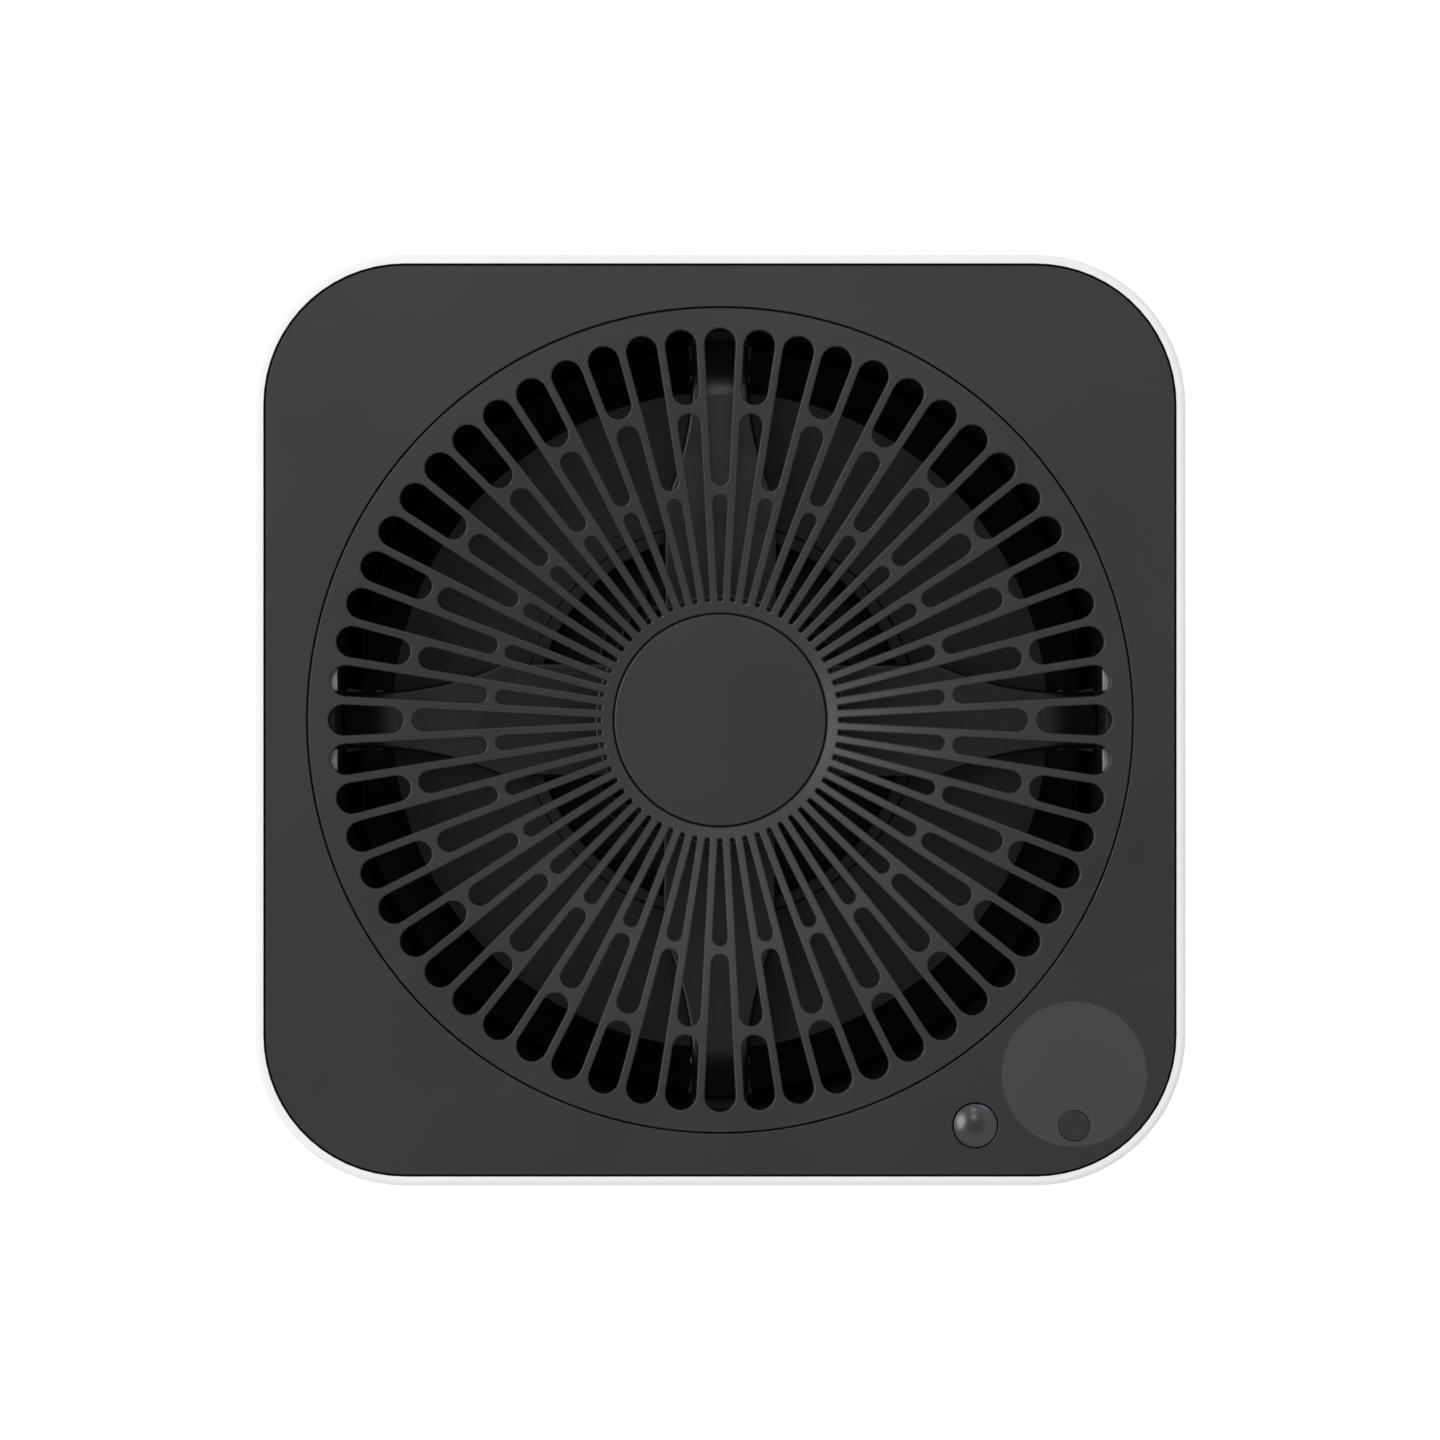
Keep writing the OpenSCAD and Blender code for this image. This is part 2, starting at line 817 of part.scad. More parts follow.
// The back of the housing tilts out about its round lower edge; two tabs reach in behind the sill
module filter_door() {
    size = [panel_w, panel_z[1] - panel_z[0]];
    color("#f3f3f1")
        difference() {
            union() {
                intersection() {
                    sweep_square(body_w, body_r) {
                        translate([-wall_t, door_z[0] + door_r])
                            square([wall_t, door_z[1] - door_z[0] - door_r]);
                        translate([-door_r, door_z[0] + door_r])
                            circle(door_r);
                    }
                    translate([0, half_w - 20, (door_z[0] + door_z[1]) / 2])
                        cube_back([door_w, 24, door_z[1] - door_z[0] + 2]);
                }
                door_ribs();
                grip_box(grip_wall, grip_d + grip_wall);
                for (s = [-1, 1])
                    translate([s * tab_x - tab_w / 2, half_w - wall_t - seat_gap - tab_t, 0]) {
                        translate([0, 0, door_z[0] - tab_down])
                            cube([tab_w, tab_t, tab_down + tab_up]);
                        translate([0, 0, door_z[0] + tab_up - 2 * door_rib / 3])
                            cube([tab_w, tab_t + seat_gap + eps, 2 * door_rib / 3]);
                    }
            }
            grip_box(0, grip_d);
            translate([0, half_w + eps, (panel_z[0] + grip_z - 6) / 2])
                rotate([90, 0, 0])
                    linear_extrude(wall_t + 2 * eps)
                        slot_field(size[0], grip_z - 6 - panel_z[0]);
        }
}

// The pocket for the fingers, grown by a wall all round
module grip_box(grow, depth) {
    translate([0, half_w - depth, grip_z + grip_h / 2])
        rotate([-90, 0, 0])
            linear_extrude(depth + (grow == 0 ? eps : -wall_t / 2))
                rounded_rect([grip_w + 2 * grow, grip_h + 2 * grow], 4 + grow);
}

module door_ribs() {
    w = door_w - 2 * rib_in;
    low = door_z[0] + tab_up;
    high = header_z - 1;
    translate([0, half_w - wall_t - door_rib, (low + high) / 2])
        difference() {
            cube_back([w, door_rib + eps, high - low]);
            translate([0, -eps, 0])
                cube_back([w - 2 * rib_w_in, door_rib + 3 * eps, high - low - 2 * rib_w_in]);
        }
}

module door_catch_plates() {
    color("#b9bcc0")
        for (s = [-1, 1])
            translate([s * magnet_x, half_w - wall_t - catch_t, header_z + magnet_r + header_lip])
                cube_back([catch_w, catch_t, 2 * magnet_r]);
}

// ---------------------------------------------------------------- filter

// One pleated sheet closed into a ring
module filter_media() {
    step = 180 / pleat_n;
    outer = filter_r - media_in;
    color("#e9eaea")
        translate([0, 0, filter_z + cap_floor])
            linear_extrude(filter_top - filter_z - 2 * cap_floor)
                difference() {
                    polygon([for (k = [0:2 * pleat_n - 1])
                        (outer - (k % 2) * (pleat_d - sheet_t)) * [cos(k * step), sin(k * step)]]);
                    polygon([for (k = [0:2 * pleat_n - 1])
                        (outer - 2 * sheet_t - (k % 2) * (pleat_d - sheet_t)) * [cos(k * step), sin(k * step)]]);
                }
}

module filter_bottom_cap() {
    color("#3f4a55")
        rotate_extrude()
            polygon([
                [0, filter_z], [filter_r, filter_z], [filter_r, filter_z + cap_lip_h],
                [filter_r - cap_lip_t, filter_z + cap_lip_h], [filter_r - cap_lip_t, filter_z + cap_floor],
                [0, filter_z + cap_floor],
            ]);
}

module filter_top_cap() {
    inner = filter_r - pleat_d - 8;
    color("#3f4a55")
        rotate_extrude()
            polygon([
                [inner, filter_top], [filter_r, filter_top], [filter_r, filter_top - cap_lip_h],
                [filter_r - cap_lip_t, filter_top - cap_lip_h], [filter_r - cap_lip_t, filter_top - cap_floor],
                [inner, filter_top - cap_floor],
            ]);
}

module filter_seal() {
    color("#26282a")
        tube(filter_r - pleat_d + 6, filter_r - pleat_d + 6 - seal_w, filter_top, filter_top + seal_h);
}

// Strap on the back of the filter, to pull it out through the door
module filter_pull_tab() {
    color("#c8551f")
        translate([0, 0, filter_top - strap_drop - strap_h])
            rotate_extrude(angle = strap_span, start = 90 - strap_span / 2)
                translate([filter_r, 0])
                    square([strap_t, strap_h]);
}

// ---------------------------------------------------------------- fan

// Square plate across the housing, with the bell mouth that feeds the impeller
module fan_deck() {
    color("#1b1b1c")
        difference() {
            union() {
                block(deck_w - 2 * seam, deck_r - seam, fan_deck_z, fan_deck_top);
                rotate_extrude()
                    difference() {
                        translate([mouth_r, fan_deck_z])
                            square([mouth_bell + mouth_lip, collar_z + collar_lap - fan_deck_z]);
                        translate([mouth_r + mouth_lip + mouth_bell, fan_deck_top + mouth_bell])
                            circle(mouth_bell);
                        translate([mouth_r + mouth_lip, fan_deck_top + mouth_bell])
                            square([mouth_bell + eps, collar_h + collar_lap]);
                    }
            }
            translate([0, 0, fan_deck_z - eps])
                cylinder(h = collar_z + collar_lap - fan_deck_z + 2 * eps, r = mouth_r);
            at_posts()
                translate([0, 0, fan_deck_z - eps])
                    cylinder(h = fan_deck_t + 2 * eps, r = screw_r + seat_gap);
        }
}

// Four screws down through the fan deck into the housing's gussets
module fan_deck_screws() {
    color("silver")
        at_posts()
            translate([0, 0, fan_deck_top])
                rotate([180, 0, 0])
                    screw(fan_deck_t + gusset_t);
}

module duct_outline(r, flat) {
    intersection() {
        circle(r);
        square([2 * flat, 3 * r], center = true);
    }
}

// The wall round the impeller, flattened at its left and right, with four lugs for the motor bracket
module fan_duct() {
    color("#1b1b1c") {
        translate([0, 0, fan_deck_top])
            linear_extrude(duct_top - fan_deck_top)
                difference() {
                    duct_outline(duct_r + duct_t, duct_flat + duct_t);
                    duct_outline(duct_r, duct_flat);
                }
        for (a = [0:90:270])
            difference() {
                intersection() {
                    rotate([0, 0, a])
                        translate([arm_screw_r - lug_in, -arm_neck, lug_top - lug_h])
                            cube([duct_r - arm_screw_r + lug_in + 1, 2 * arm_neck, lug_h]);
                    translate([0, 0, lug_top - lug_h - eps])
                        linear_extrude(lug_h + 2 * eps)
                            duct_outline(duct_r + eps, duct_flat + eps);
                }
                rotate([0, 0, a])
                    translate([arm_screw_r, 0, lug_top - lug_h - eps])
                        cylinder(h = lug_h + 2 * eps, r = screw_r + seat_gap);
            }
    }
}

// One backward-curved blade: a slice of a round wall, from the hub side to the rim
module blade() {
    difference() {
        intersection() {
            translate([(imp_r + cup_r) / 2 - 4, 6 - blade_bend])
                difference() {
                    circle(blade_bend + blade_t / 2);
                    circle(blade_bend - blade_t / 2);
                }
            circle(imp_r - blade_inset);
            translate([0, -20])
                square([imp_r, 60]);
        }
        circle(cup_r + cup_wall + 2);
    }
}

// Back disc with the cup that takes the motor, cooling ribs in the cup, and the blades below
module impeller() {
    color("#2a2a2b") {
        rotate_extrude()
            polygon([
                [shaft_r + shaft_fit, shaft_z], [shaft_r + shaft_boss_r - 1, shaft_z],
                [shaft_r + shaft_boss_r, cup_z - cup_floor_t],
                [cup_r + cup_wall - 2, cup_z - cup_floor_t], [cup_r + cup_wall, cup_z],
                [cup_r + cup_wall, imp_top - disc_wall], [imp_r, imp_top - disc_wall],
                [imp_r, imp_top], [cup_r + 2 * cup_wall, imp_top], [cup_r + 1.8 * cup_wall, imp_top + cup_lip],
                [cup_r, imp_top + cup_lip], [cup_r, cup_z], [shaft_r + shaft_fit, cup_z],
            ]);
        translate([0, 0, cup_z - eps])
            linear_extrude(cup_rib_h + eps)
                for (k = [0:cup_rib_n - 1])
                    rotate(k * 360 / cup_rib_n)
                        cup_rib();
        difference() {
            translate([0, 0, collar_z])
                linear_extrude(imp_top - disc_wall - collar_z + eps / 2)
                    for (k = [0:blade_n - 1])
                        rotate(k * 360 / blade_n)
                            blade();
            rotate_extrude()
                polygon([
                    [0, collar_z - 1], [0, blade_z + 20], [cup_r + cup_wall, blade_z + 20],
                    [eye_r, blade_z - shroud_fall], [imp_r, blade_z], [imp_r + 1, blade_z], [imp_r + 1, collar_z - 1],
                ]);
        }
    }
}

// A curved cooling rib, from the motor's can to the wall of the cup
module cup_rib() {
    intersection() {
        translate([0, -cup_rib_at])
            difference() {
                circle(cup_rib_r);
                circle(cup_rib_r - cup_rib_t);
            }
        difference() {
            circle(cup_r + cup_wall / 2);
            circle(can_r + 2);
        }
        square(cup_r + cup_wall);
    }
}

// The ring under the blades, turned down into a collar round the bell mouth
module impeller_shroud() {
    color("#2a2a2b")
        rotate_extrude()
            polygon([
                [eye_r, collar_z], [eye_r + disc_wall, collar_z],
                [eye_r + disc_wall, blade_z - shroud_fall - disc_wall],
                [imp_r, blade_z - disc_wall], [imp_r, blade_z],
                [eye_r, blade_z - shroud_fall],
            ]);
}

// ---------------------------------------------------------------- motor

module motor_shaft() {
    color("silver")
        translate([0, 0, shaft_z])
            cylinder(h = bracket_z + 1 - shaft_z, r = shaft_r);
}

// Outer-rotor can, seated on the floor of the impeller's cup
module rotor_can() {
    color("#8d9094")
        rotate_extrude()
            polygon([
                [shaft_r + shaft_fit, cup_z], [can_r, cup_z], [can_r, can_top], [can_r - can_t, can_top],
                [can_r - can_t, cup_z + can_t], [shaft_r + shaft_fit, cup_z + can_t],
            ]);
}

module rotor_magnets() {
    color("#3a3a3c")
        tube(can_r - can_t, stator_r + magnet_gap, cup_z + can_t + 3, can_top - 1);
}

// Laminated stack: a ring on the bearing tube, nine teeth and their shoes
module motor_stator() {
    color("#7a7d80")
        translate([0, 0, stator_z])
            linear_extrude(stator_h)
                difference() {
                    union() {
                        circle(core_r);
                        for (k = [0:stator_teeth - 1])
                            rotate(k * 360 / stator_teeth)
                                translate([core_r - eps, -tooth_w / 2])
                                    square([stator_r - core_r - 1, tooth_w]);
                        difference() {
                            circle(stator_r);
                            circle(stator_r - shoe_t);
                            for (k = [0:stator_teeth - 1])
                                rotate((k + 0.5) * 360 / stator_teeth)
                                    translate([stator_r - shoe_t - 1, -shoe_slot / 2])
                                        square([shoe_t + 2, shoe_slot]);
                        }
                    }
                    circle(tube_r + screw_fit);
                }
}

// A copper coil round each tooth
module motor_windings() {
    coil_w = tooth_w + 2 * coil_t;
    coil_r = core_r + core_gap;
    coil_l = stator_r - shoe_t - core_gap / 2 - coil_r;
    color("#b87333")
        for (k = [0:stator_teeth - 1])
            rotate([0, 0, k * 360 / stator_teeth])
                translate([coil_r, 0, stator_z + stator_h / 2])
                    difference() {
                        translate([0, -coil_w / 2, -stator_h / 2 - coil_t])
                            cube([coil_l, coil_w, stator_h + 2 * coil_t]);
                        translate([-eps, -tooth_w / 2 - coil_gap, -stator_h / 2 - coil_gap])
                            cube([coil_l + 2 * eps, tooth_w + 2 * coil_gap, stator_h + 2 * coil_gap]);
                    }
}

module motor_bearings() {
    color("silver")
        for (z = [tube_z, bracket_z - bearing_w])
            tube(bearing_r, shaft_r + shaft_fit, z, z + bearing_w);
}

// Four flared arms on a hub, with the tube that holds the bearings and carries the stator
module motor_bracket() {
    flare_r = ((arm_flare_at - arm_root_at) * (arm_flare_at - arm_root_at)
        + (arm_root - arm_neck) * (arm_root - arm_neck)) / (2 * (arm_root - arm_neck));
    color("#6f7275") {
        difference() {
            union() {
                translate([0, 0, bracket_z])
                    linear_extrude(bracket_t)
                        for (a = [0:90:270])
                            rotate(a)
                                difference() {
                                    translate([0, -arm_root])
                                        square([arm_end, 2 * arm_root]);
                                    for (s = [-1, 1])
                                        translate([arm_flare_at, s * (arm_neck + flare_r)])
                                            circle(flare_r);
                                }
                for (a = [0:90:270])
                    rotate([0, 0, a])
                        translate([arm_screw_r - lug_in, -arm_neck, lug_top])
                            cube([arm_end - arm_screw_r + lug_in, 2 * arm_neck, arm_foot_h + eps]);
                translate([0, 0, bracket_z])
                    cylinder(h = bracket_t + hub_rim_h, r = bracket_hub_r);
                translate([0, 0, tube_z])
                    cylinder(h = bracket_z - tube_z + eps, r = tube_r);
            }
            translate([0, 0, bracket_z + bracket_t])
                cylinder(h = hub_rim_h + eps, r = bracket_hub_r - hub_rim_t);
            translate([0, 0, tube_z - eps])
                cylinder(h = bracket_z - tube_z + eps + 2, r = bearing_r + screw_fit);
            for (a = [0:90:270])
                rotate([0, 0, a]) {
                    translate([arm_screw_r, 0, lug_top - eps])
                        cylinder(h = arm_foot_h + arm_bore_in + eps, r = screw_r + screw_fit);
                    translate([arm_bend_at, -arm_root, bracket_z + bracket_t])
                        rotate([0, arm_slope, 0])
                            cube([duct_r - arm_bend_at + eps, 2 * arm_root, bracket_t]);
                }
            for (a = [0:120:240])
                rotate([0, 0, a])
                    translate([stator_screw_at, 0, bracket_z - eps])
                        cylinder(h = bracket_t + 2 * eps, r = screw_r + screw_fit);
        }
    }
}

module bracket_screws() {
    color("silver")
        for (a = [0:90:270])
            rotate([0, 0, a])
                translate([arm_screw_r, 0, lug_top - lug_h])
                    screw(lug_h + arm_foot_h + arm_bore_in - eps);
}

// Three screws through the bracket's hub
module motor_screws() {
    color("silver")
        for (a = [0:120:240])
            rotate([0, 0, a])
                translate([stator_screw_at, 0, bracket_z + bracket_t])
                    rotate([180, 0, 0])
                        screw(bracket_t + 1.5);
}

// ---------------------------------------------------------------- deck

// Black top plate with a skirt, a seat for the grille, bosses for its screws and the button's guide
module top_deck() {
    color("#3c3c3c") {
        difference() {
            union() {
                difference() {
                    block(deck_w, deck_r, skirt_z, body_h);
                    block(deck_w - 2 * skirt_t, deck_r - skirt_t, skirt_z - eps, body_h - deck_t);
                }
                translate([0, 0, grille_z - seat_h])
                    cylinder(h = seat_h + eps, r = grille_r + seat_w);
                at_button()
                    translate([0, 0, button_stop])
                        cylinder(h = body_h - deck_t - button_stop + eps, r = button_r + guide_t);
                at_posts()
                    translate([0, 0, skirt_z])
                        cylinder(h = skirt_h + eps, r = post_r);
            }
            translate([0, 0, grille_z - seat_h - eps])
                cylinder(h = seat_h + 2 * eps, r = grille_seat);
            translate([0, 0, grille_z])
                cylinder(h = grille_t + eps, r = grille_r + grille_fit);
            at_button()
                translate([0, 0, button_stop - eps])
                    cylinder(h = body_h - button_stop + 2 * eps, r = button_r + button_fit);
            at_disc()
                translate([0, 0, body_h - disc_t])
                    cylinder(h = disc_t + eps, r = disc_r + disc_fit);
            at_sensor()
                translate([0, 0, body_h - deck_t - eps])
                    cylinder(h = deck_t + 2 * eps, r = sensor_r + sensor_fit);
            at_posts()
                translate([0, 0, skirt_z - eps])
                    cylinder(h = skirt_h + eps - 1, r = screw_r + screw_fit);
        }
    }
}

module at_button() {
    translate([button_at[0], -button_at[1], 0])
        children();
}

module at_disc() {
    translate([disc_at[0], -disc_at[1], 0])
        children();
}

module at_sensor() {
    translate([disc_at[0], -disc_at[1] - sensor_drop, 0])
        children();
}

// Four screws up through the housing's gussets into the deck's bosses
module deck_screws() {
    color("silver")
        at_posts()
            translate([0, 0, skirt_z - gusset_t])
                screw(gusset_t + skirt_h - 2);
}

// A glossy domed button on a stem, kept in by its flange
module power_button() {
    cap_sphere = (button_r * button_r + button_dome * button_dome) / (2 * button_dome);
    color("#17181c")
        at_button()
            rotate_extrude() {
                translate([0, button_stop - 1])
                    square([button_r, body_h - button_stop + 1]);
                translate([0, button_stop - seat_gap - button_flange_h])
                    square([button_r + button_flange, button_flange_h]);
                translate([0, button_foot])
                    square([stem_r, button_stop - seat_gap - button_flange_h + eps - button_foot]);
                intersection() {
                    translate([0, body_h + button_dome - cap_sphere])
                        circle(cap_sphere);
                    translate([0, body_h - eps])
                        square([button_r, button_dome + 2 * eps]);
                }
            }
}

// Board under the deck with the button's switch and the light sensor, on two posts
module control_board() {
    color("#2f5d3a")
        difference() {
            translate([board_x[0], -board_y[1], board_z])
                cube([board_x[1] - board_x[0], board_y[1] - board_y[0], board_t]);
            at_board_posts()
                translate([0, 0, board_z - eps])
                    cylinder(h = board_t + 2 * eps, r = screw_r + screw_fit);
        }
    color("#e4e5e3")
        at_board_posts()
            tube(stand_off_r, screw_r + screw_fit, board_z + board_t, body_h - deck_t);
    color("#26282c")
        at_button()
            translate([-switch_w / 2, -switch_w / 2, board_z + board_t - 0.01])
                cube([switch_w, switch_w, button_foot - button_travel - seat_gap - board_z - board_t]);
    color("#26282c")
        at_sensor()
            translate([-chip_w / 2, -chip_w / 2, board_z + board_t - 0.01])
                cube([chip_w, chip_w, chip_h]);
}

module at_board_posts() {
    for (x = [board_x[0] + board_post_in, button_at[0] + button_r + 2 * board_post_in])
        translate([x, -board_y[0] - board_post_in, 0])
            children();
}

// Smoked window over the light sensor, with a flange under the deck
module light_sensor_lens() {
    color("#2c2d2e")
        at_sensor() {
            translate([0, 0, body_h - deck_t - lens_flange])
                cylinder(h = lens_flange, r = sensor_r + lens_flange);
            translate([0, 0, body_h - deck_t - 0.01])
                cylinder(h = deck_t + 0.01, r = sensor_r);
        }
}

// Flush inlay round the sensor window
module status_disc() {
    color("#454746")
        difference() {
            at_disc()
                translate([0, 0, body_h - disc_t])
                    cylinder(h = disc_t, r = disc_r);
            at_sensor()
                translate([0, 0, body_h - disc_t - eps])
                    cylinder(h = disc_t + 2 * eps, r = sensor_r + sensor_fit);
        }
}

// ---------------------------------------------------------------- outlet grille

slot_half = 180 / slot_n;
function dish_z(r) = body_h - dish_d * pow((dish_r - r) / (dish_r - hub_r), 2);
// Half width of a slot at a distance from the axis: the ribs keep one width, so the slots are wedges
function slot_side(r) = r * tan(slot_half) - rib_w / 2 / cos(slot_half);
// Centre and radius of the round that ends a slot at a distance from the axis
function round_in(r) = (r - rib_w / 2) / (1 - sin(slot_half));
function round_out(r) = (r + rib_w / 2) / (1 + sin(slot_half));
function round_r(c) = c * sin(slot_half) - rib_w / 2;
// The rounds are a hair wider than the slot, so that they cross its sides and don't only touch them
round_swell = 0.04;
// Where that round meets the slot's side
function round_meets(c) = [
    c * cos(slot_half) * cos(slot_half) + rib_w / 2 * sin(slot_half),
    c * cos(slot_half) * sin(slot_half) - rib_w / 2 * cos(slot_half),
];

module wedge_slot(r0, r1, square_start) {
    c0 = round_in(r0);
    c1 = round_out(r1);
    start = square_start ? [r0, slot_side(r0)] : round_meets(c0);
    end = round_meets(c1);
    polygon([[start[0], -start[1]], [end[0], -end[1]], end, start]);
    if (!square_start)
        translate([c0, 0])
            circle(round_r(c0) + round_swell);
    translate([c1, 0])
        circle(round_r(c1) + round_swell);
}

// A round insert, flat at its rim and dished to the hub, cut by a ring of wedge slots with staggered bridges
module outlet_grille() {
    radii = [for (i = [0:dish_steps]) hub_r + (dish_r - hub_r) * i / dish_steps];
    color("#3c3c3c")
        difference() {
            rotate_extrude()
                polygon(concat(
                    [[0, hub_z - cap_t - grille_t], [hub_r, hub_z - cap_t - grille_t]],
                    [for (i = [1:dish_steps]) [radii[i], dish_z(radii[i]) - grille_t]],
                    [[grille_r, grille_z], [grille_r, body_h]],
                    [for (i = [dish_steps:-1:0]) [radii[i], dish_z(radii[i])]],
                    [[cap_r + cap_fit, hub_z], [cap_r + cap_fit, hub_z - cap_t], [0, hub_z - cap_t]]
                ));
            translate([0, 0, hub_z - cap_t - grille_t - eps])
                linear_extrude(dish_d + cap_t + grille_t + 2 * eps)
                    for (k = [0:slot_n - 1])
                        rotate(90 - k * 2 * slot_half) {
                            bridge = k % 2 == 0 ? bridge_even : bridge_odd;
                            wedge_slot(slot_in, bridge - bridge_w / 2, true);
                            wedge_slot(bridge + bridge_w / 2, slot_out, false);
                        }
        }
}

// Bright spring clips bent over the top edge of the duct's two flat sides
module grille_clips() {
    leg = duct_flat - clip_t - screw_fit;
    color("silver")
        for (side = [0, 180], s = [-1, 1])
            rotate([0, 0, side])
                translate([leg, s * clip_y - clip_w / 2, duct_top + clip_t - clip_h])
                    difference() {
                        cube([duct_t + 2 * (clip_t + screw_fit), clip_w, clip_h]);
                        translate([clip_t, -eps, -eps])
                            cube([duct_t + 2 * screw_fit, clip_w + 2 * eps, clip_h - clip_t + eps]);
                    }
}

module centre_cap() {
    color("#3c3c3c")
        translate([0, 0, hub_z - cap_t])
            cylinder(h = cap_t, r = cap_r);
}

// ---------------------------------------------------------------- choice of node

feet();
base_tray();
base_screws();
power_inlet();
power_board();
filter_shelf();
housing_shell();
intake_panel_front();
intake_panel_left();
intake_panel_right();
sensor_vent();
dust_sensor();
door_magnets();
filter_door();
door_catch_plates();
filter_media();
filter_bottom_cap();
filter_top_cap();
filter_seal();
filter_pull_tab();
fan_deck();
fan_deck_screws();
fan_duct();
impeller();
impeller_shroud();
motor_shaft();
rotor_can();
rotor_magnets();
motor_stator();
motor_windings();
motor_bearings();
motor_bracket();
bracket_screws();
motor_screws();
top_deck();
deck_screws();
outlet_grille();
grille_clips();
centre_cap();
power_button();
control_board();
light_sensor_lens();
status_disc();
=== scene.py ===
import math

import bpy
from mathutils import Matrix, Vector


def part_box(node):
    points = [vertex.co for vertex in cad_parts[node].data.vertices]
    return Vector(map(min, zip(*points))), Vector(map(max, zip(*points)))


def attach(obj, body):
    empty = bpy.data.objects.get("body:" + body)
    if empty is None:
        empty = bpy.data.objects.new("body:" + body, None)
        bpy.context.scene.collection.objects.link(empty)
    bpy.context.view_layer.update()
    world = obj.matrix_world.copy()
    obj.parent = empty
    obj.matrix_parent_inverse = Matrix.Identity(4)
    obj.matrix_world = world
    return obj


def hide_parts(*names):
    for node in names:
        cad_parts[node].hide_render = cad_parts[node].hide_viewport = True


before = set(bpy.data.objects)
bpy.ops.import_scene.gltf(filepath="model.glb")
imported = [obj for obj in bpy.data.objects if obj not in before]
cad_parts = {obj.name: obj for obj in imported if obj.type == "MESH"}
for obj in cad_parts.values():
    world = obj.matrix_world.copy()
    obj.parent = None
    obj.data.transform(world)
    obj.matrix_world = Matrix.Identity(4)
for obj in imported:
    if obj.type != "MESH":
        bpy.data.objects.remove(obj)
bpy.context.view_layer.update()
MM = 0.001


# ---- Camera ----
# It hangs straight over the middle of the deck, with the back of the unit towards the top of the view.
# The lens is long, so little of the unit is seen past its rim.
shell_low, shell_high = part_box("housing_shell")
deck_z = shell_high.z
camera_drop = 1.6       # metres from the camera to the deck
width_share = 0.6472    # of the view's width that the unit fills
lens = bpy.data.cameras.new("overhead_camera")
lens.sensor_width = 36
lens.lens = lens.sensor_width * camera_drop * width_share / (shell_high.x - shell_low.x)
lens.clip_end = 60
camera = bpy.data.objects.new("overhead_camera", lens)
camera.location = (0, 0, deck_z + camera_drop)
bpy.context.scene.collection.objects.link(camera)
bpy.context.scene.camera = camera


# ---- Feet ----
# Four soft rubber pads pushed into round pockets in the floor of the base tray.
# Compression moulded: matt, nearly black, with a fine grain and no sharp edge.
sharp_edge = math.radians(35)
flat_turn = math.radians(0.2)
square_on = 0.99999     # of a normal along an axis, from which a face counts as flat and square
merge_gap = 0.002 * MM


def linear(colour):
    """An sRGB hex colour as linear red, green, blue and alpha."""
    parts = [int(colour[i:i + 2], 16) / 255 for i in (1, 3, 5)]
    return [c / 12.92 if c <= 0.04045 else ((c + 0.055) / 1.055) ** 2.4 for c in parts] + [1]


def add_node(tree, kind, links=(), values=(), **settings):
    """Adds a node with its settings and socket values, and links (input, source, output) into it."""
    node = tree.nodes.new(kind)
    for name, value in settings.items():
        setattr(node, name, value)
    for socket, value in values:
        node.inputs[socket].default_value = value
    for socket, source, output in links:
        tree.links.new(source.outputs[output], node.inputs[socket])
    return node


def new_material(name, **values):
    """A material named for what the real one is, with numbers set on the shader's own sockets."""
    material = bpy.data.materials.new(name)
    material.use_nodes = True
    shader = material.node_tree.nodes["Principled BSDF"]
    for socket, value in values.items():
        shader.inputs[socket.replace("_", " ")].default_value = value
    return material, material.node_tree, shader


def two_tone(tree, source, output, dark, light, low=0.3, high=0.7):
    """A ramp from one colour to another along a pattern."""
    ramp = add_node(tree, "ShaderNodeValToRGB", [("Fac", source, output)])
    for stop, colour, place in zip(ramp.color_ramp.elements, (dark, light), (low, high)):
        stop.color = linear(colour)
        stop.position = place
    return ramp


def moulded(name, dark, light, gloss, grain, relief, **values):
    """A moulded material: slow patches of tone and gloss, and the grain of the mould's face, in mm.
    The real grain is about 0.1 mm, and is drawn coarser so that it shows."""
    patch = 60
    material, tree, shader = new_material(name, **values)
    place = add_node(tree, "ShaderNodeTexCoord")
    patches = add_node(tree, "ShaderNodeTexNoise", [("Vector", place, "Object")],
                       [("Scale", 1 / (patch * MM)), ("Detail", 3)])
    tone = two_tone(tree, patches, "Fac", dark, light)
    shine = add_node(tree, "ShaderNodeMapRange", [("Value", patches, "Fac")],
                     [("To Min", gloss[0]), ("To Max", gloss[1])])
    grit = add_node(tree, "ShaderNodeTexNoise", [("Vector", place, "Object")],
                    [("Scale", 1 / (grain * MM)), ("Detail", 2)])
    bump = add_node(tree, "ShaderNodeBump", [("Height", grit, "Fac")],
                    [("Strength", 0.5), ("Distance", relief * MM)])
    tree.links.new(tone.outputs["Color"], shader.inputs["Base Color"])
    tree.links.new(shine.outputs["Result"], shader.inputs["Roughness"])
    tree.links.new(bump.outputs["Normal"], shader.inputs["Normal"])
    return material


